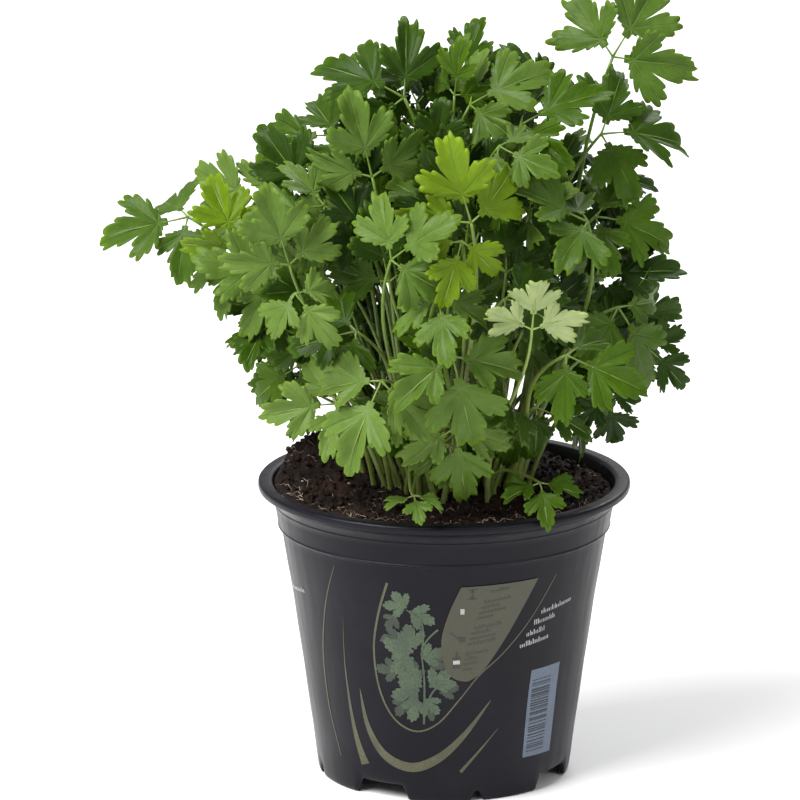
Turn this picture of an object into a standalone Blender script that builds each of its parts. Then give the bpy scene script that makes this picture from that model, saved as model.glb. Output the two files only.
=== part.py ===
"""Potted parsley: plastic nursery pot, mounded soil and separate compound leaves on stalks.

Units are metres, +Z is up, -Y is the front, and the origin is the middle of the pot's foot.
"""
import bmesh
import bpy
from itertools import product
from math import atan2, cos, hypot, pi, radians, sin
from mathutils import Matrix, Vector
from mathutils.bvhtree import BVHTree

MM = 0.001

# Pot
RIM_R = 60.0 * MM
POT_H = 96.6 * MM
LIP_BOTTOM_Z = 94.0 * MM
LIP_WIDTH = 5.0 * MM
COLLAR_R = 54.6 * MM
COLLAR_Z = 89.5 * MM
STEP_Z = 82.0 * MM
STEP_R_UPPER = 53.5 * MM
STEP_R_LOWER = 52.4 * MM
FOOT_R = 40.3 * MM
WALL = 1.3 * MM
FLOOR_TOP_Z = 6.2 * MM
FLOOR_THICK = 1.3 * MM
PAD_R = 8.5 * MM
NOTCH_H = 4.8 * MM
NOTCH_FOOT = 20.0 * MM
NOTCH_TOP = 16.4 * MM
NOTCH_ANGLES = (-30, 60, 150, 240)
NICK_R = 1.65 * MM
NICK_ANGLES = (15, 105, 195, 285)
DRAIN_R = 30.0 * MM
DRAIN_HOLE_R = 3.5 * MM
CUT_DEPTH = 8.0 * MM
CUT_BELOW = 2.0 * MM
TURN_STEPS = 40

# Soil
SOIL_GAP = 0.4 * MM
SOIL_LEVEL = 92.5 * MM
SOIL_MOUND = 9.0 * MM
SOIL_STEPS = 32
SOIL_RINGS = (0.2, 0.42, 0.62, 0.8, 0.93, 1.0)

# Leaves
STALK_W = 1.9 * MM
BLADE_SHARE = 0.42
STALK_PIECES = 7
GAP = 0.2 * MM
CROWN = (4.0, -2.0)
CROWN_SHARE = 0.36
CROWN_MAX = 33.0
STALK_CLEAR = 1.7

# Half outline of one leaflet, (along, across) as shares of its length
SHOULDER = (0.27, 0.27)
LOBE = (0.60, 0.46)
DENT = (0.56, 0.21)
CHEEK = (0.84, 0.25)
TIP = (1.0, 0.07)
BASE_ACROSS = 0.05
ARCH = 0.16
FOLD = 0.22

# name, fork position (mm), direction of growth, upper-side direction, leaflet length (mm),
# leaflets, colour
LEAVES = (
    ("leaf_01", (-20, -62, 145), (-0.4, -0.35, -0.8), (-0.1, -0.85, 0.5), 22.1, 3, "leaf_light"),
    ("leaf_02", (2, -66, 154), (0.25, -0.35, -0.85), (0.05, -0.9, 0.45), 22.1, 3, "leaf_light"),
    ("leaf_03", (8, -50, 193), (-0.25, -0.2, 0.9), (0, -0.9, 0.4), 21.3, 3, "leaf_lime"),
    ("leaf_04", (5, -62, 190), (-0.2, -0.5, -0.6), (0, -0.8, 0.6), 14.8, 3, "leaf_lime"),
    ("leaf_05", (27, -64, 162), (0.08, -0.1, 1), (0, 0.9, 0.3), 14.8, 3, "leaf_under"),
    ("leaf_06", (-2, -62, 172), (0.05, -0.5, -0.5), (0, -0.85, 0.5), 16.4, 3, "leaf_light"),
    ("leaf_07", (3, -52, 127), (0.15, -0.3, -0.9), (0, -0.9, 0.4), 18, 3, "leaf_light"),
    ("leaf_08", (-17, -58, 184), (0.55, -0.3, 0.5), (0, -0.85, 0.5), 18.9, 3, "leaf_light"),
    ("leaf_09", (-28, -50, 157), (-1, -0.3, -0.15), (-0.1, -0.75, 0.7), 15.6, 3, "leaf_mid"),
    ("leaf_10", (30, -40, 107), (0.15, -0.85, -0.35), (0, -0.35, 0.95), 11.5, 3, "leaf_mid"),
    ("leaf_11", (-23, -34, 204), (-0.22, -0.1, 0.95), (-0.25, -0.85, 0.4), 20.5, 3, "leaf_light"),
    ("leaf_12", (-10, -50, 108), (0.1, -0.6, -0.1), (0, -0.5, 0.8), 9, 3, "leaf_light"),
    ("leaf_13", (-34, -33, 131), (-0.9, -0.25, 0), (-0.1, -0.8, 0.6), 17, 3, "leaf_light"),
    ("leaf_14", (-53, -20, 168), (-0.85, -0.2, 0.25), (-0.3, -0.75, 0.6), 19.5, 3, "leaf_light"),
    ("leaf_15", (54, 20, 231), (0.5, 0, 0.86), (0, -0.9, 0.4), 23, 3, "leaf_light"),
    ("leaf_16", (33, 10, 214), (-0.35, 0.1, 0.75), (0.2, -0.8, 0.5), 18, 3, "leaf_dark"),
    ("leaf_17", (24, -5, 216), (0.7, -0.1, 0.45), (-0.3, -0.6, 0.7), 21, 3, "leaf_mid"),
    ("leaf_18", (50, 5, 209), (0.97, 0, 0.1), (0, -0.75, 0.6), 22, 3, "leaf_mid"),
    ("leaf_19", (45, -32, 189), (-0.8, -0.25, 0.45), (0.2, -0.4, 0.9), 20.5, 3, "leaf_light"),
    ("leaf_20", (-13, 0, 222), (-0.86, 0, 0.5), (0, -0.85, 0.5), 23, 3, "leaf_mid"),
    ("leaf_21", (8, -6, 221), (0.7, -0.1, 0.45), (0, -0.5, 0.85), 20, 3, "leaf_light"),
    ("leaf_22", (13, 25, 214), (0.1, 0.2, 0.95), (0, -0.9, 0.3), 12, 3, "leaf_lime"),
    ("leaf_23", (-34, 10, 207), (-1, -0.1, 0.12), (0.1, -0.4, 0.9), 21, 3, "leaf_mid"),
    ("leaf_24", (-42, 0, 193), (-0.5, 0.2, 0.65), (-0.2, -0.7, 0.6), 20, 3, "leaf_dark"),
    ("leaf_25", (-38, -35, 193), (-0.9, -0.35, 0), (-0.1, -0.75, 0.65), 19.7, 3, "leaf_light"),
    ("leaf_26", (-65, -15, 181), (-0.4, 0, 0.8), (-0.3, -0.85, 0.35), 17.5, 3, "leaf_lime"),
    ("leaf_27", (-82, 0, 183), (-0.95, -0.1, -0.2), (0, -0.6, 0.8), 20, 3, "leaf_light"),
    ("leaf_28", (-64, 12, 167), (-1, 0.15, 0.05), (0, -0.65, 0.75), 19, 3, "leaf_light"),
    ("leaf_29", (-46, -40, 178), (-0.25, -0.15, 0.85), (0, -0.95, 0.35), 18.9, 3, "leaf_light"),
    ("leaf_30", (-47, -48, 173), (0.5, -0.3, -0.6), (0, -0.85, 0.5), 14, 3, "leaf_light"),
    ("leaf_31", (-45, -15, 137), (-0.3, -0.1, 0.85), (-0.3, -0.85, 0.4), 17.2, 3, "leaf_mid"),
    ("leaf_32", (48, -10, 166), (0.75, -0.1, 0.1), (0.1, -0.8, 0.6), 20, 3, "leaf_dark"),
    ("leaf_33", (52, -15, 159), (0.5, -0.1, -0.75), (0.3, -0.75, 0.5), 21, 3, "leaf_mid"),
    ("leaf_34", (65, -5, 141), (0.7, -0.1, -0.6), (0.2, -0.8, 0.5), 13, 3, "leaf_dark"),
    ("leaf_35", (38, -45, 151), (0.85, -0.2, -0.35), (0.1, -0.7, 0.65), 19.7, 3, "leaf_mid"),
    ("leaf_36", (51, -25, 129), (0.35, -0.1, -0.85), (0.2, -0.8, 0.5), 13.1, 3, "leaf_dark"),
    ("leaf_37", (13, -50, 124), (0.8, -0.2, -0.1), (0, -0.8, 0.6), 9.8, 3, "leaf_light"),
    ("leaf_38", (45, 10, 192), (0.9, 0.1, 0.05), (0, -0.6, 0.8), 15, 3, "leaf_dark"),
    ("leaf_39", (48, -8, 188), (0.95, -0.1, -0.1), (0, -0.6, 0.8), 20, 3, "leaf_mid"),
    ("leaf_40", (17, -34, 213), (0.75, -0.5, -0.3), (0.1, -0.6, 0.8), 18.9, 3, "leaf_light"),
    ("leaf_41", (19, -44, 167), (0.55, -0.4, -0.1), (0, -0.8, 0.6), 18, 3, "leaf_dark"),
    ("leaf_42", (26, -30, 131), (0.8, -0.1, -0.3), (0, -0.8, 0.6), 14, 3, "leaf_mid"),
    ("leaf_43", (-4, 0, 175), (-0.5, -0.2, 0.5), (0, -0.7, 0.7), 17, 5, "leaf_mid"),
    ("leaf_44", (15, -5, 169), (0.3, -0.2, 0.7), (0, -0.75, 0.65), 17, 5, "leaf_dark"),
    ("leaf_45", (6, 25, 181), (0.2, 0, 0.6), (0, -0.75, 0.7), 17, 5, "leaf_mid"),
    ("leaf_46", (-8, 20, 192), (-0.5, 0.1, 0.4), (0, -0.7, 0.7), 17, 5, "leaf_mid"),
    ("leaf_47", (-23, 0, 163), (-0.6, -0.1, 0.5), (0, -0.7, 0.7), 17, 5, "leaf_mid"),
    ("leaf_48", (-12, 24, 135), (-0.3, 0, 0.7), (0, -0.8, 0.6), 17, 5, "leaf_dark"),
    ("leaf_49", (42, 15, 137), (0.7, 0.1, 0.3), (0.2, -0.7, 0.7), 17, 5, "leaf_dark"),
    ("leaf_50", (0, 42, 179), (-0.4, 0.8, 0.3), (0, 0.5, 0.85), 18, 5, "leaf_mid"),
    ("leaf_51", (21, 38, 183), (0.5, 0.7, 0.3), (0, 0.5, 0.85), 18, 5, "leaf_mid"),
    ("leaf_52", (-26, 42, 167), (-0.7, 0.6, 0.1), (-0.2, 0.6, 0.8), 18, 5, "leaf_mid"),
    ("leaf_53", (38, 38, 160), (0.7, 0.6, 0), (0.2, 0.6, 0.8), 18, 5, "leaf_dark"),
    ("leaf_54", (2, 44, 145), (0, 0.9, -0.2), (0, 0.75, 0.65), 18, 5, "leaf_mid"),
    ("leaf_55", (34, 26, 187), (0.3, 0.1, 0.75), (0, -0.7, 0.7), 17, 3, "leaf_mid"),
    ("leaf_56", (-42, 12, 122), (-0.8, 0.2, 0.1), (-0.1, -0.7, 0.6), 15, 3, "leaf_mid"),
    ("leaf_57", (-59, 10, 184), (-0.85, 0.1, 0.5), (-0.2, -0.75, 0.5), 19, 3, "leaf_light"),
    ("leaf_58", (0, 6, 210), (-0.1, 0, 0.9), (0, -0.8, 0.5), 14, 3, "leaf_mid"),
)

COLOURS = {
    "pot_black": ((0.024, 0.025, 0.029, 1.0), 0.42),
    "soil_brown": ((0.030, 0.019, 0.012, 1.0), 0.95),
    "leaf_dark": ((0.030, 0.085, 0.018, 1.0), 0.5),
    "leaf_mid": ((0.055, 0.150, 0.026, 1.0), 0.5),
    "leaf_light": ((0.105, 0.235, 0.050, 1.0), 0.5),
    "leaf_lime": ((0.190, 0.330, 0.045, 1.0), 0.5),
    "leaf_under": ((0.300, 0.390, 0.180, 1.0), 0.6),
}


def clear_scene():
    for ob in list(bpy.data.objects):
        bpy.data.objects.remove(ob, do_unlink=True)
    for group in list(bpy.data.collections):
        bpy.data.collections.remove(group)


def material(name):
    if name in bpy.data.materials:
        return bpy.data.materials[name]
    mat = bpy.data.materials.new(name)
    mat.use_nodes = True
    colour, rough = COLOURS[name]
    shader = mat.node_tree.nodes["Principled BSDF"]
    shader.inputs["Base Color"].default_value = colour
    shader.inputs["Roughness"].default_value = rough
    shader.inputs["Metallic"].default_value = 0.0
    mat.diffuse_color = colour
    return mat


def mesh_object(name, verts, faces, group, mat=None):
    mesh = bpy.data.meshes.new(name)
    mesh.from_pydata([tuple(float(c) for c in v) for v in verts], [], faces)
    mesh.update()
    ob = bpy.data.objects.new(name, mesh)
    group.objects.link(ob)
    if mat:
        mesh.materials.append(material(mat))
    return ob


# ---------------------------------------------------------------- pot

def pot_profile():
    inner_lip = RIM_R - LIP_WIDTH
    floor_under = FLOOR_TOP_Z - FLOOR_THICK
    inner_floor_r = FOOT_R + 0.8 * MM - WALL
    return (
        (0.0, FLOOR_TOP_Z),
        (inner_floor_r - 1.5 * MM, FLOOR_TOP_Z),
        (inner_floor_r + 0.4 * MM, FLOOR_TOP_Z + 1.6 * MM),
        (45.4 * MM - WALL, 35.6 * MM),
        (STEP_R_LOWER - WALL, STEP_Z - 2.0 * MM),
        (STEP_R_UPPER - WALL, STEP_Z + 0.5 * MM),
        (COLLAR_R - WALL, COLLAR_Z),
        (inner_lip, LIP_BOTTOM_Z + 1.4 * MM),
        (inner_lip + 0.9 * MM, POT_H),
        (RIM_R - 0.7 * MM, POT_H),
        (RIM_R, POT_H - 0.8 * MM),
        (RIM_R, LIP_BOTTOM_Z + 0.4 * MM),
        (RIM_R - 0.4 * MM, LIP_BOTTOM_Z),
        (59.0 * MM, LIP_BOTTOM_Z - 0.4 * MM),
        (56.2 * MM, COLLAR_Z + 1.6 * MM),
        (COLLAR_R, COLLAR_Z),
        (STEP_R_UPPER, STEP_Z + 0.5 * MM),
        (STEP_R_LOWER, STEP_Z - 0.4 * MM),
        (51.4 * MM, 74.0 * MM),
        (48.4 * MM, 55.9 * MM),
        (45.4 * MM, 35.6 * MM),
        (42.6 * MM, 15.3 * MM),
        (FOOT_R + 0.8 * MM, 3.0 * MM),
        (FOOT_R, 0.0),
        (FOOT_R - WALL, 0.0),
        (FOOT_R - WALL + 0.5 * MM, floor_under),
        (PAD_R + 0.6 * MM, floor_under),
        (PAD_R, 0.0),
        (0.0, 0.0),
    )


def turned(name, profile, steps, group, mat):
    verts = [(r, 0.0, z) for r, z in profile]
    edges = [(i, i + 1) for i in range(len(verts) - 1)]
    mesh = bpy.data.meshes.new(name)
    mesh.from_pydata(verts, edges, [])
    ob = bpy.data.objects.new(name, mesh)
    group.objects.link(ob)
    screw = ob.modifiers.new("turn", "SCREW")
    screw.steps = steps
    screw.render_steps = steps
    screw.use_merge_vertices = True
    screw.merge_threshold = 0.00005
    mesh.materials.append(material(mat))
    return ob


def cutter(name, mesh_data, place, group):
    """Turn a bmesh into a cutter that stands at place."""
    mesh = bpy.data.meshes.new(name)
    mesh_data.transform(place)
    mesh_data.to_mesh(mesh)
    mesh_data.free()
    ob = bpy.data.objects.new(name, mesh)
    ob.display_type = "WIRE"
    ob.hide_render = True
    group.objects.link(ob)
    return ob


def on_circle(radius, angle, z):
    """Place at an angle from the front, with local X pointing out of the pot."""
    a = radians(angle - 90)
    return Matrix.Rotation(a, 4, "Z") @ Matrix.Translation((radius, 0, z))


def wide_notch(name, angle, group):
    """Slot up from the foot whose sides lean together towards the top."""
    block = bmesh.new()
    bmesh.ops.create_cube(block, size=1.0)
    for vert in block.verts:
        top = vert.co.z > 0
        half = NOTCH_TOP / 2 if top else NOTCH_FOOT / 2
        vert.co.x *= CUT_DEPTH
        vert.co.y = half if vert.co.y > 0 else -half
        vert.co.z = NOTCH_H if top else -CUT_BELOW
    return cutter(name, block, on_circle(FOOT_R, angle, 0), group)


def small_notch(name, angle, group):
    """Round-topped nick in the foot."""
    rod = bmesh.new()
    bmesh.ops.create_cone(rod, cap_ends=True, segments=14, radius1=NICK_R, radius2=NICK_R, depth=CUT_DEPTH)
    rod.transform(Matrix.Rotation(pi / 2, 4, "Y"))
    return cutter(name, rod, on_circle(FOOT_R, angle, NICK_R), group)


def drain_hole(name, angle, group):
    rod = bmesh.new()
    bmesh.ops.create_cone(rod, cap_ends=True, segments=16, radius1=DRAIN_HOLE_R, radius2=DRAIN_HOLE_R,
                          depth=CUT_DEPTH)
    return cutter(name, rod, on_circle(DRAIN_R, angle, FLOOR_TOP_Z), group)


def build_pot(parts, cutters):
    pot = turned("pot", pot_profile(), TURN_STEPS, parts, "pot_black")
    tools = []
    for i, angle in enumerate(NOTCH_ANGLES):
        tools.append(wide_notch(f"wide_notch_{i}", angle, cutters))
        tools.append(drain_hole(f"drain_hole_{i}", angle, cutters))
    for i, angle in enumerate(NICK_ANGLES):
        tools.append(small_notch(f"small_notch_{i}", angle, cutters))
    for tool in tools:
        cut = pot.modifiers.new(tool.name, "BOOLEAN")
        cut.operation = "DIFFERENCE"
        cut.solver = "EXACT"
        cut.object = tool
    return pot


# ---------------------------------------------------------------- soil

def inner_wall(z):
    """Inside radius of the pot at a height, less the gap the soil keeps from it."""
    steps = ((0.0, 38.6), (35.6, 44.1), (80.0, 51.1), (82.5, 52.2), (89.5, 53.3), (95.4, 55.0))
    for (low, low_r), (high, high_r) in zip(steps, steps[1:]):
        if z <= high * MM:
            break
    share = (z / MM - low) / (high - low)
    return (low_r + share * (high_r - low_r)) * MM - SOIL_GAP


def soil_top(x, y):
    """Height of the soil surface, mounded towards the back left."""
    r = min(1.0, hypot(x, y) / inner_wall(SOIL_LEVEL))
    lean = max(0.0, y / RIM_R) * (1.0 - 0.45 * max(0.0, x / RIM_R))
    mound = SOIL_MOUND * (0.35 * (1 - r * r) + 0.62 * lean * (1 - r ** 6))
    lumps = 0.9 * sin(x * 210 + 1.0) * cos(y * 190 + 0.5) + 0.5 * sin(x * 430 + y * 310)
    return SOIL_LEVEL + mound + lumps * MM * (1 - 0.7 * r ** 4)


def build_soil(group):
    """A turned plug whose flat top is then raised into the mound."""
    top_r = inner_wall(SOIL_LEVEL)
    profile = [(0.0, SOIL_LEVEL)]
    profile += [(top_r * share, SOIL_LEVEL) for share in SOIL_RINGS]
    floor_z = FLOOR_TOP_Z + SOIL_GAP
    profile += [(inner_wall(z), z) for z in (COLLAR_Z - 0.7 * MM, STEP_Z - 2.0 * MM, 35.6 * MM)]
    profile += [(inner_wall(floor_z) + 0.1 * MM, floor_z + 1.8 * MM)]
    profile += [(inner_wall(floor_z) - 2.0 * MM, floor_z), (0.0, floor_z)]
    plug = bmesh.new()
    verts = [plug.verts.new((r, 0.0, z)) for r, z in profile]
    edges = [plug.edges.new(pair) for pair in zip(verts, verts[1:])]
    bmesh.ops.spin(plug, geom=verts + edges, cent=(0, 0, 0), axis=(0, 0, 1), angle=2 * pi,
                   steps=SOIL_STEPS, use_merge=True)
    bmesh.ops.remove_doubles(plug, verts=plug.verts, dist=0.01 * MM)
    for vert in plug.verts:
        if abs(vert.co.z - SOIL_LEVEL) < 0.01 * MM:
            vert.co.z = soil_top(vert.co.x, vert.co.y)
    bmesh.ops.recalc_face_normals(plug, faces=plug.faces)
    mesh = bpy.data.meshes.new("soil")
    plug.to_mesh(mesh)
    plug.free()
    mesh.materials.append(material("soil_brown"))
    soil = bpy.data.objects.new("soil", mesh)
    group.objects.link(soil)
    return soil


# ---------------------------------------------------------------- leaves

def turn(v, axis, degrees):
    return Matrix.Rotation(radians(degrees), 3, axis) @ v


def leaf_axes(aim, face, roll):
    """Along, across and out of the upper side, as unit vectors."""
    t = Vector(aim).normalized()
    n = Vector(face)
    n = turn((n - n.dot(t) * t).normalized(), t, roll)
    return t, n.cross(t), n


def leaflet_plan(size, count):
    """Rows of (id, station along the stalk, turn in degrees, stalklet length, leaflet length)."""
    if count == 3:
        return (
            (1, 0.0, 66, 0.12 * size, 0.86 * size),
            (2, 0.0, -66, 0.12 * size, 0.86 * size),
            (0, 0.0, 0, 0.28 * size, size),
        )
    return (
        (1, 0.0, 70, 0.28 * size, 0.78 * size),
        (2, 0.0, -70, 0.28 * size, 0.78 * size),
        (3, 0.95 * size, 66, 0.12 * size, 0.80 * size),
        (4, 0.95 * size, -66, 0.12 * size, 0.80 * size),
        (0, 0.95 * size, 0, 0.28 * size, size),
    )


def leaflet_axes(key, number, t, n, degrees):
    """Axes of one leaflet: along, across to the left, and out of its upper side."""
    along = turn(t, n, degrees)
    across = n.cross(along)
    pitch = 10 - 17 * sin(2.4 * key + 1.7 * number)
    roll = 20 * sin(1.3 * key + 2.9 * number)
    along = turn(along, across, pitch)
    normal = turn(along.cross(across), along, roll)
    return along, normal.cross(along), normal


def crown_point(fork, swing):
    """Where a leaf's stalk leaves the soil: near the crown, on the side of its fork."""
    a = atan2(fork.y, fork.x) + radians(swing)
    r = min(CROWN_MAX, CROWN_SHARE * hypot(fork.x, fork.y))
    x = CROWN[0] + r * cos(a)
    y = CROWN[1] + r * sin(a)
    return Vector((x, y, soil_top(x * MM, y * MM) / MM + STALK_CLEAR))


def stalk_route(fork, t, swing, bow, count):
    """Points on the stalk's curve, from the soil up and outwards into the fork."""
    base = crown_point(fork, swing)
    reach = fork - base
    h = reach.length
    outward = Vector((reach.x, reach.y, 0.001)).normalized()
    up = Vector((0, 0, 1))
    beside = up.cross(outward)
    rise = base + (up * 0.95 + outward * 0.3 + beside * bow) * h * 0.42
    end = (t * 0.55 + reach.normalized() * 0.6 + up * 0.15).normalized()
    bend = fork - (end + beside * bow * 0.6) * h * 0.33
    route = []
    for i in range(count):
        u = i / (count - 1)
        v = 1 - u
        route.append(v ** 3 * base + 3 * v * v * u * rise + 3 * v * u * u * bend + u ** 3 * fork)
    return route


class Sheet:
    """Open surface of one leaf with a thickness share on every point."""

    def __init__(self):
        self.points = []
        self.shares = []
        self.faces = []

    def add(self, point, share=1.0):
        self.points.append(point)
        self.shares.append(share)
        return len(self.points) - 1

    def pair(self, centre, across, half, share=1.0):
        """Right then left point of a ribbon end."""
        return self.add(centre - across * half, share), self.add(centre + across * half, share)

    def band(self, start, end):
        self.faces.append((start[0], end[0], end[1], start[1]))

    def blade(self, base, origin, axes, size):
        along, across, normal = axes

        def spot(a, b):
            lift = FOLD * abs(b) - ARCH * a * a
            where = origin + size * (along * a + across * b + normal * lift)
            return self.add(where, BLADE_SHARE)

        right, left = base
        rib_low, rib_high = spot(SHOULDER[0], 0), spot(DENT[0], 0)
        edge = []
        for side in (-1, 1):
            edge.append([spot(a, side * b) for a, b in (SHOULDER, LOBE, DENT, CHEEK, TIP)])
        (shoulder_r, lobe_r, dent_r, cheek_r, tip_r), (shoulder_l, lobe_l, dent_l, cheek_l, tip_l) = edge
        self.faces += [
            (right, shoulder_r, rib_low),
            (right, rib_low, left),
            (left, rib_low, shoulder_l),
            (shoulder_r, rib_high, rib_low),
            (rib_low, rib_high, shoulder_l),
            (shoulder_r, lobe_r, dent_r, rib_high),
            (rib_high, dent_l, lobe_l, shoulder_l),
            (dent_r, cheek_r, rib_high),
            (rib_high, cheek_l, dent_l),
            (rib_high, cheek_r, cheek_l),
            (cheek_r, tip_r, tip_l, cheek_l),
        ]


def leaf_sheet(key, row, nudge):
    _, fork, aim, face, size, count, _ = row
    across_shift, shift, up_shift, roll, bow, swing, shrink = nudge
    size = size * shrink
    fork = Vector(fork) + Vector((across_shift, shift, up_shift))
    t, s, n = leaf_axes(aim, face, roll)
    route = stalk_route(fork, t, swing, bow, STALK_PIECES)
    sheet = Sheet()
    half = STALK_W / MM / 2
    hub_half = half * 1.15
    # carry the across direction back down the stalk without twist
    acrosses = [s]
    for i in range(len(route) - 1, 0, -1):
        step = (route[i] - route[i - 1]).normalized()
        side = acrosses[0] - acrosses[0].dot(step) * step
        acrosses.insert(0, side.normalized())
    rows = [sheet.pair(p, a, half) for p, a in zip(route[:-1], acrosses[:-1])]
    for a, b in zip(rows[:-1], rows[1:]):
        sheet.band(a, b)
    entry = rows[-1]
    plan = leaflet_plan(size, count)
    for station in sorted({item[1] for item in plan}):
        centre = fork + t * station
        near = sheet.pair(centre - t * hub_half * 0.6, s, hub_half)
        far = sheet.pair(centre + t * hub_half, s, hub_half)
        sheet.band(entry, near)
        sheet.band(near, far)
        for number, place, degrees, stem, length in plan:
            if place != station:
                continue
            axes = leaflet_axes(key, number, t, n, degrees)
            origin = centre + turn(t, n, degrees) * (stem + hub_half)
            base = sheet.pair(origin, axes[1], max(0.6, BASE_ACROSS * length), 0.7)
            if degrees > 0:
                start = (far[1], near[1])
            elif degrees < 0:
                start = (near[0], far[0])
            else:
                start = far
            sheet.band(start, base)
            sheet.blade(base, origin, axes, length)
        entry = far
    return sheet


def swollen(sheet):
    """Closed faces of the thickened leaf, grown by the clearance on every side."""
    points = sheet.points
    normals = [Vector() for p in points]
    edges = set()
    for face in sheet.faces:
        p = [points[i] for i in face]
        area = (p[1] - p[0]).cross(p[2] - p[0])
        if len(face) == 4:
            area = area + (p[2] - p[0]).cross(p[3] - p[0])
        area.normalize()
        for i in face:
            normals[i] += area
        edges.update(zip(face, face[1:] + face[:1]))
    for normal in normals:
        normal.normalize()
    rim = sorted(e for e in edges if (e[1], e[0]) not in edges)
    grow = [Vector() for p in points]
    for a, b in rim:
        out = (points[b] - points[a]).normalized().cross(normals[a] + normals[b])
        grow[a] += out
        grow[b] += out
    gap = GAP / MM
    half = STALK_W / MM / 2
    wide = [p + g.normalized() * gap for p, g in zip(points, grow)]
    lift = [m * (half * share + gap) for m, share in zip(normals, sheet.shares)]
    n = len(points)
    faces = [tuple(f) for f in sheet.faces]
    faces += [tuple(i + n for i in reversed(f)) for f in sheet.faces]
    faces += [(b, a, a + n, b + n) for a, b in rim]
    upper = [(p + v) * MM for p, v in zip(wide, lift)]
    lower = [(p - v) * MM for p, v in zip(wide, lift)]
    return upper + lower, faces


def nudges():
    """Small changes a leaf may take to clear its neighbours, the mildest first."""
    acrosses = (0, 3, -3)
    shifts = (0, 4, -4, 8, -8, 13, -13)
    ups = (0, 3, -3)
    rolls = (0, 10, -10)
    bows = (0.0, 0.14, -0.14)
    swings = (0, 16, -16, 36, -36)
    every = list(product(acrosses, shifts, ups, rolls, bows, swings, (1.0, 0.84)))
    every.sort(key=nudge_cost)
    return every


def nudge_cost(nudge):
    """How much a nudge shows: moves in mm, roll in degrees, and a smaller leaf counts most."""
    across, shift, up, roll, bow, swing, shrink = nudge
    moved = abs(across) / 3 + abs(shift) / 6 + abs(up) / 3
    return moved + abs(roll) / 8 + abs(bow) * 3 + abs(swing) / 40 + (1 - shrink) * 12


def touches_itself(faces, tree):
    """True if faces that share no corner cross."""
    for a, b in tree.overlap(tree):
        if a < b and not set(faces[a]) & set(faces[b]):
            return True
    return False


def box_of(points):
    low = tuple(min(p[i] for p in points) for i in range(3))
    high = tuple(max(p[i] for p in points) for i in range(3))
    return low, high


def apart(a, b):
    return any(a[0][i] > b[1][i] or a[1][i] < b[0][i] for i in range(3))


def has_room(points, faces, tree, placed):
    box = box_of(points)
    for other_box, other in placed:
        if not apart(box, other_box) and tree.overlap(other):
            return False
    return not touches_itself(faces, tree)


def build_leaves(group, fixed):
    """Place the leaves in turn, each with the smallest nudge that clears all before it."""
    placed = list(fixed)
    options = nudges()
    for key, row in enumerate(LEAVES, 1):
        for nudge in options:
            sheet = leaf_sheet(key, row, nudge)
            points, faces = swollen(sheet)
            tree = BVHTree.FromPolygons(points, faces)
            if has_room(points, faces, tree, placed):
                break
        placed.append((box_of(points), tree))
        leaf_object(row, sheet, group)


def leaf_object(row, sheet, group):
    points = [p * MM for p in sheet.points]
    ob = mesh_object(row[0], points, sheet.faces, group, row[6])
    weights = ob.vertex_groups.new(name="thickness")
    for i, share in enumerate(sheet.shares):
        weights.add([i], share, "REPLACE")
    solid = ob.modifiers.new("thickness", "SOLIDIFY")
    solid.thickness = STALK_W
    solid.offset = 0.0
    solid.vertex_group = "thickness"
    solid.thickness_vertex_group = 0.0
    solid.use_even_offset = False
    return ob


def world_tree(ob, grow):
    """Box and face tree of a finished object, swollen by grow along its point normals."""
    ready = ob.evaluated_get(bpy.context.evaluated_depsgraph_get())
    mesh = ready.to_mesh()
    points = [v.co + v.normal * grow for v in mesh.vertices]
    faces = [tuple(p.vertices) for p in mesh.polygons]
    ready.to_mesh_clear()
    return box_of(points), BVHTree.FromPolygons(points, faces)


def main():
    clear_scene()
    root = bpy.context.scene.collection
    parts = bpy.data.collections.new("potted_parsley")
    cutters = bpy.data.collections.new("cutters")
    root.children.link(parts)
    root.children.link(cutters)
    pot = build_pot(parts, cutters)
    soil = build_soil(parts)
    bpy.context.view_layer.update()
    build_leaves(parts, [world_tree(pot, GAP), world_tree(soil, GAP)])


main()
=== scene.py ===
"""Looks of the potted parsley: lobed leaves, crumbly soil and a printed nursery pot.

Lengths are metres unless a name or comment says millimetres. -Y is the front.
"""
from collections import namedtuple
from itertools import product
from math import atan2, cos, exp, hypot, pi, radians, sin, sqrt
from random import Random
import bmesh
import bpy
from mathutils import Matrix, Vector, noise
from mathutils.bvhtree import BVHTree
from mathutils.kdtree import KDTree


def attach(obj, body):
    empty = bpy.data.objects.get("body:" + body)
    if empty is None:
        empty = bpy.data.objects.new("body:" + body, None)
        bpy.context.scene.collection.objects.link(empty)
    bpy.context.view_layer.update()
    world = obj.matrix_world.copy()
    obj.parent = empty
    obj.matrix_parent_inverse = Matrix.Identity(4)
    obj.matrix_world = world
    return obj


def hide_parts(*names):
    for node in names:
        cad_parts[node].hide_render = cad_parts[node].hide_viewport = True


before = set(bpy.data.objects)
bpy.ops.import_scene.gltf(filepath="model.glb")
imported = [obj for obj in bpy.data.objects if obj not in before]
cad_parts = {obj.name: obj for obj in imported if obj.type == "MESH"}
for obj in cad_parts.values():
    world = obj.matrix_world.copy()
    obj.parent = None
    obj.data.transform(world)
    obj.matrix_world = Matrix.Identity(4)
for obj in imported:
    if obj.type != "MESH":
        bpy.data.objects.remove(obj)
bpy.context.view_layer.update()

MM = 0.001
UP = Vector((0, 0, 1))

# Camera
LOOK_AT = Vector((-14.24, 0, 122.5)) * MM
CAMERA_TILT = 14.718
CAMERA_DISTANCE = 2.5
CAMERA_LENS = 349.8
CAMERA_SENSOR = 36
CAMERA_REACH = 50

# Pot (mm)
RIM_R = 60.0
POT_H = 96.6
SOIL_LEVEL = 92.5

Leaf = namedtuple("Leaf", "fork aim face size leaflets tone")

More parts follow.
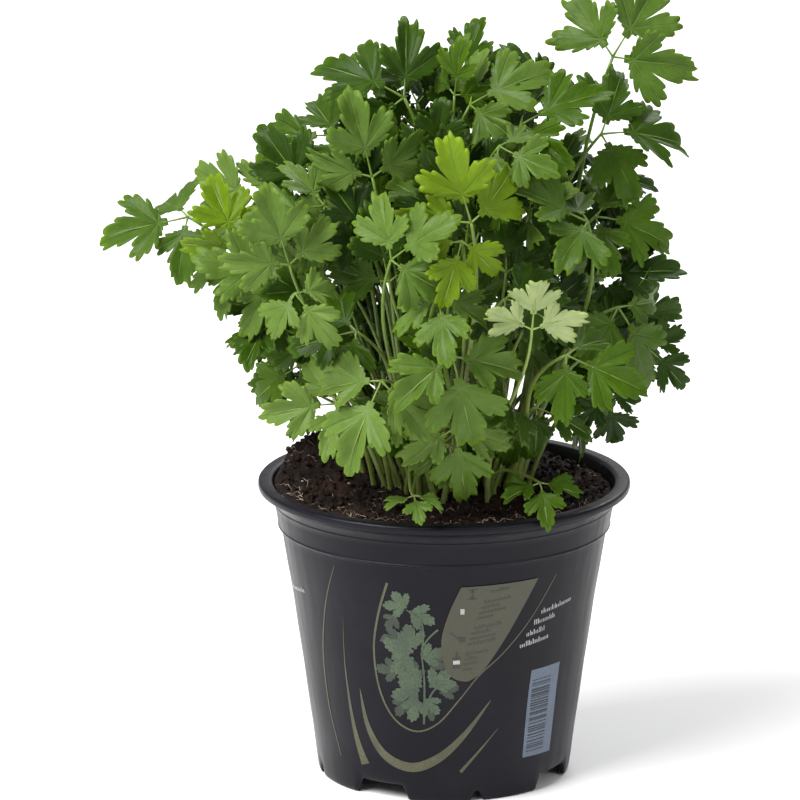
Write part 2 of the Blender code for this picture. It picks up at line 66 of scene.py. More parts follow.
# fork position (mm), direction of growth, upper-side direction, leaflet length (mm), leaflets, colour; the
# dark tone is painted shade on leaves away from the key lamp, the light tone a painted lit sheen on leaves
# facing it
LEAVES = (
    Leaf((-20, -62, 145), (-0.4, -0.35, -0.8), (-0.1, -0.85, 0.5), 22.1, 3, "leaf_light"),
    Leaf((2, -66, 154), (0.25, -0.35, -0.85), (0.05, -0.9, 0.45), 22.1, 3, "leaf_light"),
    Leaf((8, -50, 193), (-0.25, -0.2, 0.9), (0, -0.9, 0.4), 21.3, 3, "leaf_lime"),
    Leaf((5, -62, 190), (-0.2, -0.5, -0.6), (0, -0.8, 0.6), 14.8, 3, "leaf_lime"),
    Leaf((27, -64, 162), (0.08, -0.1, 1), (0, 0.9, 0.3), 14.8, 3, "leaf_under"),
    Leaf((-2, -62, 172), (0.05, -0.5, -0.5), (0, -0.85, 0.5), 16.4, 3, "leaf_light"),
    Leaf((3, -52, 127), (0.15, -0.3, -0.9), (0, -0.9, 0.4), 18, 3, "leaf_light"),
    Leaf((-17, -58, 184), (0.55, -0.3, 0.5), (0, -0.85, 0.5), 18.9, 3, "leaf_light"),
    Leaf((-28, -50, 157), (-1, -0.3, -0.15), (-0.1, -0.75, 0.7), 15.6, 3, "leaf_mid"),
    Leaf((30, -40, 107), (0.15, -0.85, -0.35), (0, -0.35, 0.95), 11.5, 3, "leaf_mid"),
    Leaf((-23, -34, 204), (-0.22, -0.1, 0.95), (-0.25, -0.85, 0.4), 20.5, 3, "leaf_light"),
    Leaf((-10, -50, 108), (0.1, -0.6, -0.1), (0, -0.5, 0.8), 9, 3, "leaf_light"),
    Leaf((-34, -33, 131), (-0.9, -0.25, 0), (-0.1, -0.8, 0.6), 17, 3, "leaf_light"),
    Leaf((-53, -20, 168), (-0.85, -0.2, 0.25), (-0.3, -0.75, 0.6), 19.5, 3, "leaf_light"),
    Leaf((54, 20, 231), (0.5, 0, 0.86), (0, -0.9, 0.4), 23, 3, "leaf_light"),
    Leaf((33, 10, 214), (-0.35, 0.1, 0.75), (0.2, -0.8, 0.5), 18, 3, "leaf_dark"),
    Leaf((24, -5, 216), (0.7, -0.1, 0.45), (-0.3, -0.6, 0.7), 21, 3, "leaf_mid"),
    Leaf((50, 5, 209), (0.97, 0, 0.1), (0, -0.75, 0.6), 22, 3, "leaf_mid"),
    Leaf((45, -32, 189), (-0.8, -0.25, 0.45), (0.2, -0.4, 0.9), 20.5, 3, "leaf_light"),
    Leaf((-13, 0, 222), (-0.86, 0, 0.5), (0, -0.85, 0.5), 23, 3, "leaf_mid"),
    Leaf((8, -6, 221), (0.7, -0.1, 0.45), (0, -0.5, 0.85), 20, 3, "leaf_light"),
    Leaf((13, 25, 214), (0.1, 0.2, 0.95), (0, -0.9, 0.3), 12, 3, "leaf_lime"),
    Leaf((-34, 10, 207), (-1, -0.1, 0.12), (0.1, -0.4, 0.9), 21, 3, "leaf_mid"),
    Leaf((-42, 0, 193), (-0.5, 0.2, 0.65), (-0.2, -0.7, 0.6), 20, 3, "leaf_dark"),
    Leaf((-38, -35, 193), (-0.9, -0.35, 0), (-0.1, -0.75, 0.65), 19.7, 3, "leaf_light"),
    Leaf((-65, -15, 181), (-0.4, 0, 0.8), (-0.3, -0.85, 0.35), 17.5, 3, "leaf_lime"),
    Leaf((-82, 0, 183), (-0.95, -0.1, -0.2), (0, -0.6, 0.8), 20, 3, "leaf_light"),
    Leaf((-64, 12, 167), (-1, 0.15, 0.05), (0, -0.65, 0.75), 19, 3, "leaf_light"),
    Leaf((-46, -40, 178), (-0.25, -0.15, 0.85), (0, -0.95, 0.35), 18.9, 3, "leaf_light"),
    Leaf((-47, -48, 173), (0.5, -0.3, -0.6), (0, -0.85, 0.5), 14, 3, "leaf_light"),
    Leaf((-45, -15, 137), (-0.3, -0.1, 0.85), (-0.3, -0.85, 0.4), 17.2, 3, "leaf_mid"),
    Leaf((48, -10, 166), (0.75, -0.1, 0.1), (0.1, -0.8, 0.6), 20, 3, "leaf_dark"),
    Leaf((52, -15, 159), (0.5, -0.1, -0.75), (0.3, -0.75, 0.5), 21, 3, "leaf_mid"),
    Leaf((65, -5, 141), (0.7, -0.1, -0.6), (0.2, -0.8, 0.5), 13, 3, "leaf_dark"),
    Leaf((38, -45, 151), (0.85, -0.2, -0.35), (0.1, -0.7, 0.65), 19.7, 3, "leaf_mid"),
    Leaf((51, -25, 129), (0.35, -0.1, -0.85), (0.2, -0.8, 0.5), 13.1, 3, "leaf_dark"),
    Leaf((13, -50, 124), (0.8, -0.2, -0.1), (0, -0.8, 0.6), 9.8, 3, "leaf_light"),
    Leaf((45, 10, 192), (0.9, 0.1, 0.05), (0, -0.6, 0.8), 15, 3, "leaf_dark"),
    Leaf((48, -8, 188), (0.95, -0.1, -0.1), (0, -0.6, 0.8), 20, 3, "leaf_mid"),
    Leaf((17, -34, 213), (0.75, -0.5, -0.3), (0.1, -0.6, 0.8), 18.9, 3, "leaf_light"),
    Leaf((19, -44, 167), (0.55, -0.4, -0.1), (0, -0.8, 0.6), 18, 3, "leaf_dark"),
    Leaf((26, -30, 131), (0.8, -0.1, -0.3), (0, -0.8, 0.6), 14, 3, "leaf_mid"),
    Leaf((-4, 0, 175), (-0.5, -0.2, 0.5), (0, -0.7, 0.7), 17, 5, "leaf_mid"),
    Leaf((15, -5, 169), (0.3, -0.2, 0.7), (0, -0.75, 0.65), 17, 5, "leaf_dark"),
    Leaf((6, 25, 181), (0.2, 0, 0.6), (0, -0.75, 0.7), 17, 5, "leaf_mid"),
    Leaf((-8, 20, 192), (-0.5, 0.1, 0.4), (0, -0.7, 0.7), 17, 5, "leaf_mid"),
    Leaf((-23, 0, 163), (-0.6, -0.1, 0.5), (0, -0.7, 0.7), 17, 5, "leaf_mid"),
    Leaf((-12, 24, 135), (-0.3, 0, 0.7), (0, -0.8, 0.6), 17, 5, "leaf_dark"),
    Leaf((42, 15, 137), (0.7, 0.1, 0.3), (0.2, -0.7, 0.7), 17, 5, "leaf_dark"),
    Leaf((0, 42, 179), (-0.4, 0.8, 0.3), (0, 0.5, 0.85), 18, 5, "leaf_mid"),
    Leaf((21, 38, 183), (0.5, 0.7, 0.3), (0, 0.5, 0.85), 18, 5, "leaf_mid"),
    Leaf((-26, 42, 167), (-0.7, 0.6, 0.1), (-0.2, 0.6, 0.8), 18, 5, "leaf_mid"),
    Leaf((38, 38, 160), (0.7, 0.6, 0), (0.2, 0.6, 0.8), 18, 5, "leaf_dark"),
    Leaf((2, 44, 145), (0, 0.9, -0.2), (0, 0.75, 0.65), 18, 5, "leaf_mid"),
    Leaf((34, 26, 187), (0.3, 0.1, 0.75), (0, -0.7, 0.7), 17, 3, "leaf_mid"),
    Leaf((-42, 12, 122), (-0.8, 0.2, 0.1), (-0.1, -0.7, 0.6), 15, 3, "leaf_mid"),
    Leaf((-59, 10, 184), (-0.85, 0.1, 0.5), (-0.2, -0.75, 0.5), 19, 3, "leaf_light"),
    Leaf((0, 6, 210), (-0.1, 0, 0.9), (0, -0.8, 0.5), 14, 3, "leaf_mid"),
)


# ---- small tools

def mesh_piece(name, verts, faces, mats, smooth=True):
    """New object in the scene from corners in metres and faces."""
    mesh = bpy.data.meshes.new(name)
    mesh.from_pydata(verts, [], faces)
    mesh.update()
    for mat in mats:
        mesh.materials.append(mat)
    mesh.polygons.foreach_set("use_smooth", [smooth] * len(mesh.polygons))
    ob = bpy.data.objects.new(name, mesh)
    bpy.context.scene.collection.objects.link(ob)
    return ob


def clean(mesh, distance):
    """Join corners that lie within a distance and turn every face outwards."""
    shape = bmesh.new()
    shape.from_mesh(mesh)
    bmesh.ops.remove_doubles(shape, verts=shape.verts, dist=distance)
    bmesh.ops.recalc_face_normals(shape, faces=shape.faces)
    shape.to_mesh(mesh)
    shape.free()


def settle(piece):
    """Fix a piece to the one body."""
    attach(piece, "root")


def turn(v, axis, degrees):
    """A vector turned about an axis."""
    return Matrix.Rotation(radians(degrees), 3, axis) @ v


class Nodes:
    """Short way to write a node material."""

    def __init__(self, name):
        self.mat = bpy.data.materials.new(name)
        self.mat.use_nodes = True
        self.tree = self.mat.node_tree
        self.shader = self.tree.nodes["Principled BSDF"]
        self.output = self.tree.nodes["Material Output"]

    def add(self, kind, **settings):
        node = self.tree.nodes.new("ShaderNode" + kind)
        for key, value in settings.items():
            setattr(node, key, value)
        return node

    def link(self, source, target):
        self.tree.links.new(source, target)

    def put(self, socket, value):
        if isinstance(value, bpy.types.NodeSocket):
            self.link(value, socket)
        elif value is not None:
            socket.default_value = value

    def math(self, operation, a, b=None, c=None, clamp=False):
        node = self.add("Math", operation=operation, use_clamp=clamp)
        self.put(node.inputs[0], a)
        self.put(node.inputs[1], b)
        self.put(node.inputs[2], c)
        return node.outputs[0]

    def shade(self, name, value):
        self.put(self.shader.inputs[name], value)

    def noise(self, scale, detail, rough, vector):
        node = self.add("TexNoise")
        self.put(node.inputs["Scale"], scale)
        self.put(node.inputs["Detail"], detail)
        self.put(node.inputs["Roughness"], rough)
        self.put(node.inputs["Vector"], vector)
        return node.outputs["Fac"]

    def stretched(self, coords, scale):
        """Coordinates scaled apart on each axis, for streaks."""
        node = self.add("Mapping")
        node.inputs["Scale"].default_value = scale
        self.link(coords, node.inputs["Vector"])
        return node.outputs["Vector"]

    def ramp(self, fac, stops):
        node = self.add("ValToRGB")
        ramp = node.color_ramp
        while len(ramp.elements) < len(stops):
            ramp.elements.new(0.5)
        for element, (where, colour) in zip(ramp.elements, stops):
            element.position = where
            element.color = (*colour, 1.0)
        self.link(fac, node.inputs["Fac"])
        return node.outputs["Color"]

    def blend(self, fac, a, b):
        node = self.add("Mix", data_type="RGBA")
        self.put(node.inputs["Factor"], fac)
        for socket, value in ((node.inputs[6], a), (node.inputs[7], b)):
            self.put(socket, (*value, 1.0) if isinstance(value, tuple) else value)
        return node.outputs[2]

    def steps(self, value, low, high, to_low=0.0, to_high=1.0):
        node = self.add("MapRange", clamp=True, interpolation_type="SMOOTHSTEP")
        self.link(value, node.inputs["Value"])
        ends = (("From Min", low), ("From Max", high), ("To Min", to_low), ("To Max", to_high))
        for key, number in ends:
            node.inputs[key].default_value = number
        return node.outputs["Result"]

    def bump(self, height, distance, strength, under=None):
        node = self.add("Bump")
        self.put(node.inputs["Strength"], strength)
        self.put(node.inputs["Distance"], distance)
        self.put(node.inputs["Height"], height)
        self.put(node.inputs["Normal"], under)
        return node.outputs["Normal"]

    def object_coords(self):
        return self.add("TexCoord").outputs["Object"]

    def split(self, coords):
        """The X, Y and Z outputs of a vector."""
        node = self.add("SeparateXYZ")
        self.link(coords, node.inputs[0])
        return node.outputs


# ---- leaf materials

LEAF_EYE = 0.14
LOBE_TURN = 50.0
# veins, in leaflet lengths
VEIN_WIDTH = 0.0105
VEIN_TAPER = 0.009
SIDE_VEIN_SLANT = 1.25
SIDE_VEIN_GAP = 0.052
SIDE_VEIN_WIDTH = 0.009
LIGHT_THROUGH = 0.26


def vein_masks(n):
    """Main and side veins from the leaflet's own coordinates: U along it, V across it."""
    spot = n.split(n.add("TexCoord").outputs["UV"])
    along = n.math("SUBTRACT", spot["X"], LEAF_EYE)
    across = n.math("SUBTRACT", spot["Y"], 0.5)
    squares = n.math("ADD", n.math("MULTIPLY", along, along), n.math("MULTIPLY", across, across))
    reach = n.math("SQRT", squares)
    angle = n.math("ARCTAN2", across, along)
    folded = n.math("PINGPONG", angle, radians(LOBE_TURN) / 2)
    # distance along and beside the nearest lobe's own vein
    beside = n.math("MULTIPLY", reach, n.math("SINE", n.math("ABSOLUTE", folded)))
    ahead = n.math("MULTIPLY", reach, n.math("COSINE", folded))
    width = n.math("MULTIPLY_ADD", reach, -VEIN_TAPER, VEIN_WIDTH)
    main = n.math("SUBTRACT", 1.0, n.math("DIVIDE", beside, n.math("MULTIPLY", width, 2.0)), clamp=True)
    feather = n.math("MULTIPLY_ADD", beside, -SIDE_VEIN_SLANT, ahead)
    side = n.steps(n.math("PINGPONG", feather, SIDE_VEIN_GAP), 0.0, SIDE_VEIN_WIDTH, 1.0, 0.0)
    return main, side


def leaf_material(name, deep, bright, vein, glow, rough, veins=0.26):
    """Upper side of a leaf: mottled green, pale veins, soft shine and light coming through."""
    n = Nodes(name)
    coords = n.object_coords()
    tint = n.add("Attribute", attribute_name="tint")
    parts = n.add("SeparateColor")
    n.link(tint.outputs["Color"], parts.inputs["Color"])
    mottle = n.noise(210, 5, 0.6, coords)
    broad = n.noise(45, 2, 0.5, coords)
    clouds = n.math("ADD", n.math("MULTIPLY", mottle, 0.45), n.math("MULTIPLY", broad, 0.25))
    mixed = n.math("ADD", n.math("MULTIPLY", parts.outputs["Red"], 0.55), clouds)
    body = n.blend(n.steps(mixed, 0.3, 0.95), deep, bright)
    main, side = vein_masks(n)
    lines = n.math("MAXIMUM", main, n.math("MULTIPLY", side, 0.35), clamp=True)
    colour = n.blend(n.math("MULTIPLY", lines, veins), body, vein)
    margin = n.steps(parts.outputs["Green"], 0.0, 0.12, 0.35, 0.0)
    colour = n.blend(margin, colour, glow)
    n.shade("Base Color", colour)
    n.shade("Roughness", n.steps(mottle, 0.3, 0.7, rough - 0.06, rough + 0.09))
    n.shade("Specular IOR Level", 0.10)
    height = n.math("SUBTRACT", n.math("MULTIPLY", mottle, 0.5), n.math("MULTIPLY", lines, 0.8))
    quilt = n.noise(150, 2, 0.4, coords)
    n.shade("Normal", n.bump(height, 0.4 * MM, 0.8, n.bump(quilt, 1.6 * MM, 0.7)))
    n.shade("Coat Weight", 0.16)
    n.shade("Coat Roughness", 0.24)
    through = n.add("BsdfTranslucent")
    n.link(n.blend(0.55, colour, glow), through.inputs["Color"])
    mix = n.add("MixShader")
    mix.inputs[0].default_value = LIGHT_THROUGH
    n.link(n.shader.outputs[0], mix.inputs[1])
    n.link(through.outputs[0], mix.inputs[2])
    n.link(mix.outputs[0], n.output.inputs["Surface"])
    return n.mat


def stalk_material(name, low, high):
    """Ribbed juicy stalk, paler towards the soil."""
    n = Nodes(name)
    coords = n.object_coords()
    climb = n.steps(n.split(coords)["Z"], 0.1, 0.19)
    grain = n.noise(1.0, 3, 0.6, n.stretched(coords, (900, 900, 40)))
    colour = n.blend(climb, low, high)
    n.shade("Base Color", n.blend(n.steps(grain, 0.35, 0.75, 0.0, 0.35), colour, (0.03, 0.07, 0.01)))
    n.shade("Roughness", 0.36)
    n.shade("Subsurface Weight", 0.12)
    n.shade("Subsurface Scale", 1.0 * MM)
    n.shade("Normal", n.bump(grain, 0.3 * MM, 0.6))
    return n.mat


# ---- leaf placing, as in the CAD

# where the stalks leave the soil: middle (mm), share of the fork's offset, most (mm)
CROWN = (4.0, -2.0)
CROWN_SHARE = 0.36
CROWN_MAX = 33.0
STALK_CLEAR = 1.7
SOIL_MOUND = 9.0
HUB = 0.95 * 1.15
CAD_ARCH = 0.16
CAD_FOLD = 0.22
# what the CAD may give a leaf to clear its neighbours: shifts in mm, roll and swing in degrees,
# shrink and bow as shares
SHIFTS_X = (0, 3, -3)
SHIFTS_Y = (0, 4, -4, 8, -8, 13, -13)
SHIFTS_Z = (0, 3, -3)
ROLLS = (0, 10, -10)
SHRINKS = (1.0, 0.84)
BOWS = (0.0, 0.14, -0.14)
SWINGS = (0, 16, -16, 36, -36)
# most that a leaf's corners and its stalk may lie from the CAD leaf, in mm
LEAF_MISS = 0.8
STALK_MISS = 1.6
# corners of a CAD leaflet, along and across it in leaflet lengths
CORNERS = ((1.0, 0.07), (1.0, -0.07), (0.6, 0.46), (0.6, -0.46))
ROUTE_CHECKS = 7
# the pot's inside near its top: low and high radius and height, and the soil's gap to it (mm)
INNER_R = (53.3, 55.0)
INNER_Z = (89.5, 95.4)
WALL_GAP = 0.4


def soil_wall(z):
    """Radius in mm at which the soil meets the pot near its top."""
    flare = (INNER_R[1] - INNER_R[0]) / (INNER_Z[1] - INNER_Z[0])
    return INNER_R[0] + (z - INNER_Z[0]) * flare - WALL_GAP


def soil_top(x, y):
    """Height of the soil surface in mm, mounded towards the back left."""
    r = min(1.0, hypot(x, y) / soil_wall(SOIL_LEVEL))
    lean = max(0.0, y / RIM_R) * (1.0 - 0.45 * max(0.0, x / RIM_R))
    mound = SOIL_MOUND * (0.35 * (1 - r * r) + 0.62 * lean * (1 - r ** 6))
    lumps = 0.9 * sin(x * 0.21 + 1.0) * cos(y * 0.19 + 0.5) + 0.5 * sin(x * 0.43 + y * 0.31)
    return SOIL_LEVEL + mound + lumps * (1 - 0.7 * r ** 4)


def leaf_axes(aim, face, roll):
    """Axes of a leaf: along its growth, across it, and out of its upper side."""
    t = Vector(aim).normalized()
    n = Vector(face)
    n = turn((n - n.dot(t) * t).normalized(), t, roll)
    return t, n.cross(t), n


def leaflet_plan(size, count):
    """Rows of (id, station along the stalk, turn in degrees, stalklet length, leaflet length)."""
    if count == 3:
        return (
            (1, 0.0, 66, 0.12 * size, 0.86 * size),
            (2, 0.0, -66, 0.12 * size, 0.86 * size),
            (0, 0.0, 0, 0.28 * size, size),
        )
    return (
        (1, 0.0, 70, 0.28 * size, 0.78 * size),
        (2, 0.0, -70, 0.28 * size, 0.78 * size),
        (3, 0.95 * size, 66, 0.12 * size, 0.80 * size),
        (4, 0.95 * size, -66, 0.12 * size, 0.80 * size),
        (0, 0.95 * size, 0, 0.28 * size, size),
    )


def leaflet_axes(key, number, t, n, degrees):
    """Axes of one leaflet: along, across to the left, and out of its upper side."""
    along = turn(t, n, degrees)
    across = n.cross(along)
    pitch = 10 - 17 * sin(2.4 * key + 1.7 * number)
    roll = 20 * sin(1.3 * key + 2.9 * number)
    along = turn(along, across, pitch)
    normal = turn(along.cross(across), along, roll)
    return along, normal.cross(along), normal


def crown_point(fork, swing):
    """Where a stalk leaves the soil, in mm."""
    a = atan2(fork.y, fork.x) + radians(swing)
    r = min(CROWN_MAX, CROWN_SHARE * hypot(fork.x, fork.y))
    x = CROWN[0] + r * cos(a)
    y = CROWN[1] + r * sin(a)
    return Vector((x, y, soil_top(x, y) + STALK_CLEAR))


def cubic(start, leave, arrive, end, count):
    """Evenly stepped points on a cubic curve with two guide points."""
    path = []
    for i in range(count):
        u = i / (count - 1)
        v = 1 - u
        path.append(v ** 3 * start + 3 * v * v * u * leave + 3 * v * u * u * arrive + u ** 3 * end)
    return path


def stalk_route(fork, t, swing, bow, count):
    """Points in mm along a stalk from the soil up to its fork."""
    base = crown_point(fork, swing)
    reach = fork - base
    h = reach.length
    outward = Vector((reach.x, reach.y, 0.001)).normalized()
    beside = UP.cross(outward)
    rise = base + (UP * 0.95 + outward * 0.3 + beside * bow) * h * 0.42
    end = (t * 0.55 + reach.normalized() * 0.6 + UP * 0.15).normalized()
    bend = fork - (end + beside * bow * 0.6) * h * 0.33
    return cubic(base, rise, bend, fork, count)


def landmarks(key, leaf, fork, roll, shrink):
    """Points in mm that the CAD leaf has for this placing: the leaflets' corners."""
    t, _, n = leaf_axes(leaf.aim, leaf.face, roll)
    spots = []
    for number, station, degrees, stem, length in leaflet_plan(leaf.size * shrink, leaf.leaflets):
        along, across, normal = leaflet_axes(key, number, t, n, degrees)
        origin = fork + t * station + turn(t, n, degrees) * (stem + HUB)
        for a, b in CORNERS:
            lift = CAD_FOLD * abs(b) - CAD_ARCH * a * a
            spots.append(origin + length * (along * a + across * b + normal * lift))
    return spots


def misfit(spots, tree):
    """Mean distance in mm from some points to the nearest corners in a tree."""
    return sum(tree.find(spot)[2] for spot in spots) / len(spots)


def find_placing(key, leaf, name):
    """The nudge that the CAD gave this leaf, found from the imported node's own corners."""
    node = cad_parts[name]
    tree = KDTree(len(node.data.vertices))
    for i, vert in enumerate(node.data.vertices):
        tree.insert(vert.co / MM, i)
    tree.balance()
    best = None
    for x, y, z, roll, shrink in product(SHIFTS_X, SHIFTS_Y, SHIFTS_Z, ROLLS, SHRINKS):
        fork = Vector(leaf.fork) + Vector((x, y, z))
        miss = misfit(landmarks(key, leaf, fork, roll, shrink), tree)
        if best is None or miss < best[0]:
            best = (miss, fork, roll, shrink)
    miss, fork, roll, shrink = best
    t = leaf_axes(leaf.aim, leaf.face, roll)[0]
    routes = []
    for bow, swing in product(BOWS, SWINGS):
        route = stalk_route(fork, t, swing, bow, ROUTE_CHECKS)
        routes.append((misfit(route[:-1], tree), swing, bow))
    stray, swing, bow = min(routes)
    if miss > LEAF_MISS or stray > STALK_MISS:
        raise SystemExit(f"{name} does not match its CAD leaf: {miss:.2f} {stray:.2f} mm")
    return fork, roll, shrink, swing, bow


# ---- leaf shape

# one side of a leaflet's edge, as turns in degrees and reaches from its eye in leaflet lengths:
# rounded tooth tips, and the nicks between them, from the middle tip to the wedge at the base
TOOTH_TIPS = ((0, 0.86), (11, 0.80), (20, 0.655), (33, 0.53), (43, 0.655), (53.5, 0.665), (64, 0.57),
              (76, 0.40), (90, 0.23))
NICKS = ((6.2, 0.79), (16, 0.67), (26.3, 0.25), (38, 0.56), (48.4, 0.605), (59.2, 0.56), (71, 0.35),
         (84, 0.24), (102, 0.14))
DEEP_NICK = 0.26
LAST_TIP = (118, 0.14)
TOOTH_STEPS = (0.0, 0.38, 0.68, 0.9)
TOOTH_ROUND = 2.4
WEDGE_TURNS = (132, 146, 158, 170)
WEDGE_HALF = 0.05
WEDGE_MOST = 0.17
RINGS = (0.0, 0.34, 0.62, 0.84, 1.0)
# blade half thickness (mm), and how much fuller the leaflets are than in the CAD
BLADE_HALF = 0.2
FULLER = 1.10
SIDE_LEAN = 0.12
TUBE_SIDES = 8
PLAIN_TINT = (0.5, 0.5, 0.5, 1.0)
LEAF_SEED = 1000
STALK_STEPS = 30
BURIED = (5.0, 2.0)
STALKLET_STEPS = 6
RIB_STEPS = 7
RIB_R = 0.40
RIB_SINK = 0.34


def side_edge(rng, grow, cut):
    """One side of a leaflet's edge from the middle tip round to the base, as (turn, reach)."""
    spread = rng.uniform(-2.0, 3.0)
    tips = []
    nicks = []
    for (tip_turn, tip), (nick_turn, nick) in zip(TOOTH_TIPS, NICKS):
        bend = spread * min(1.0, tip_turn / 40)
        tip_turn += bend + rng.uniform(-0.9, 0.9) * (tip_turn > 0)
        nick *= cut if nick < DEEP_NICK else rng.uniform(0.96, 1.02)
        tips.append((tip_turn, tip * rng.uniform(0.95, 1.05)))
        nicks.append((nick_turn + bend + rng.uniform(-0.5, 0.5), nick))
    tips.append(LAST_TIP)
    edge = []
    for i, (nick_turn, nick) in enumerate(nicks):
        scale = 1.0 if i == 0 else grow
        halves = ((tips[i], TOOTH_STEPS), (tips[i + 1], (1.0,) + TOOTH_STEPS[:0:-1]))
        for (tip_turn, tip), shares in halves:
            for share in shares:
                reach = tip + (min(nick, tip * 0.97) - tip) * share ** TOOTH_ROUND
                edge.append((tip_turn + (nick_turn - tip_turn) * share, reach * scale))
    return edge


def outline(rng, lean):
    """Closed edge as (angle, reach) about the eye, anticlockwise from the middle tip."""
    left = side_edge(rng, 1 + lean, rng.uniform(0.75, 1.3))
    right = side_edge(rng, 1 - lean, rng.uniform(0.75, 1.3))
    right[0] = left[0]
    base = [(turn_by, wedge(radians(turn_by))) for turn_by in WEDGE_TURNS]
    left += base
    right += base
    edge = [(radians(turn_by), reach) for turn_by, reach in left]
    edge.append((pi, wedge(pi)))
    edge += [(-radians(turn_by), reach) for turn_by, reach in right[:0:-1]]
    return edge


def wedge(angle):
    """Reach of the narrow base that runs back from the eye to the stalklet."""
    back = pi - abs(angle)
    return min(LEAF_EYE / max(0.05, cos(back)), WEDGE_HALF / max(0.02, sin(back)) + 0.02, WEDGE_MOST)


class Skin:
    """Vertices, faces and face data of one leaf, grown leaflet by leaflet (mm)."""

    def __init__(self):
        self.verts = []
        self.faces = []
        self.kinds = []
        self.uvs = []
        self.tints = []

    def vert(self, point, uv, tint):
        self.verts.append(point * MM)
        self.uvs.append(uv)
        self.tints.append(tint)
        return len(self.verts) - 1

    def face(self, corners, kind):
        self.faces.append(corners)
        self.kinds.append(kind)


def add_leaflet(skin, rng, origin, axes, size, lean, tint):
    """Toothed, creased and gently waved blade with an upper side, an under side and an edge."""
    along, across, normal = axes
    edge = outline(rng, lean)
    stretch = rng.uniform(0.96, 1.06)
    widen = rng.uniform(0.92, 1.10)
    phase = rng.uniform(0, 2 * pi)
    curl = rng.uniform(-0.05, 0.20)
    wave = rng.uniform(0.02, 0.06)
    waves = rng.choice((7, 8, 10))
    twist = rng.uniform(-0.16, 0.16)
    cup = rng.uniform(0.02, 0.075)
    hue = rng.random()

    def place(a, b, outer):
        crease = sqrt(b * b + 0.0016) - 0.04
        angle = atan2(b, a - LEAF_EYE)
        r = hypot(b, a - LEAF_EYE)
        # each lobe is a shallow trough along its own vein
        trough = cos(2 * pi * angle / radians(LOBE_TURN)) * max(0.0, cos(angle)) ** 0.5
        lift = CAD_FOLD * crease - CAD_ARCH * a * a - cup * r * trough
        lift += wave * outer * outer * sin(waves * angle + phase)
        lift += twist * a * b - curl * r ** 3
        lift += 0.015 * noise.noise(Vector((a * 5, b * 5, phase * 3)))
        return origin + size * (along * a + across * b + normal * lift)

    sheets = []
    for side in (1, -1):
        rows = []
        for share in RINGS:
            row = []
            for angle, reach in edge:
                if share == 0.0 and row:
                    row.append(row[0])
                    continue
                r = reach * share
                # inner rings are rounder than the toothed edge
                if share < 1.0:
                    soft = 0.55 * (1 - share)
                    r = share * (reach * (1 - soft) + soft * min(reach, 0.5))
                a = LEAF_EYE + r * cos(angle) * stretch
                b = r * sin(angle) * widen
                half = BLADE_HALF * (1.0 - 0.55 * share)
                point = place(a, b, share * min(1.0, reach / 0.6)) + normal * side * half
                colour = (tint * 0.7 + hue * 0.3, 1.0 - share, hue, 1.0)
                row.append(skin.vert(point, (a, b + 0.5), colour))
            rows.append(row)
        sheets.append(rows)
    count = len(edge)
    for rows, kind, flip in ((sheets[0], "top", False), (sheets[1], "under", True)):
        for ring in range(len(RINGS) - 1):
            for i in range(count):
                j = (i + 1) % count
                inner, outer = rows[ring], rows[ring + 1]
                corners = (inner[i], outer[i], outer[j], inner[j])
                if ring == 0:
                    corners = (inner[i], outer[i], outer[j])
                skin.face(corners[::-1] if flip else corners, kind)
    rim_top, rim_under = sheets[0][-1], sheets[1][-1]
    for i in range(count):
        j = (i + 1) % count
        skin.face((rim_top[i], rim_under[i], rim_under[j], rim_top[j]), "top")


def add_tube(skin, points, radii, across):
    """Tapered stalk through points, closed at both ends."""
    rings = []
    side = across.copy()
    for i, point in enumerate(points):
        ahead = points[min(i + 1, len(points) - 1)] - points[max(i - 1, 0)]
        ahead.normalize()
        side = (side - side.dot(ahead) * ahead).normalized()
        up = ahead.cross(side)
        ring = []
        for k in range(TUBE_SIDES):
            a = 2 * pi * k / TUBE_SIDES
            spot = point + (side * cos(a) + up * sin(a)) * radii[i]
            ring.append(skin.vert(spot, (k / TUBE_SIDES, i), PLAIN_TINT))
        rings.append(ring)
    for low, high in zip(rings, rings[1:]):
        for k in range(TUBE_SIDES):
            m = (k + 1) % TUBE_SIDES
            skin.face((low[k], low[m], high[m], high[k]), "stalk")
    skin.face(tuple(rings[0][::-1]), "stalk")
    skin.face(tuple(rings[-1]), "stalk")


def smooth_path(start, start_aim, end, end_aim, count):
    """Path between two points with the given leaving and arriving directions."""
    guide = (end - start).length * 0.35
    return cubic(start, start + start_aim * guide, end - end_aim * guide, end, count)


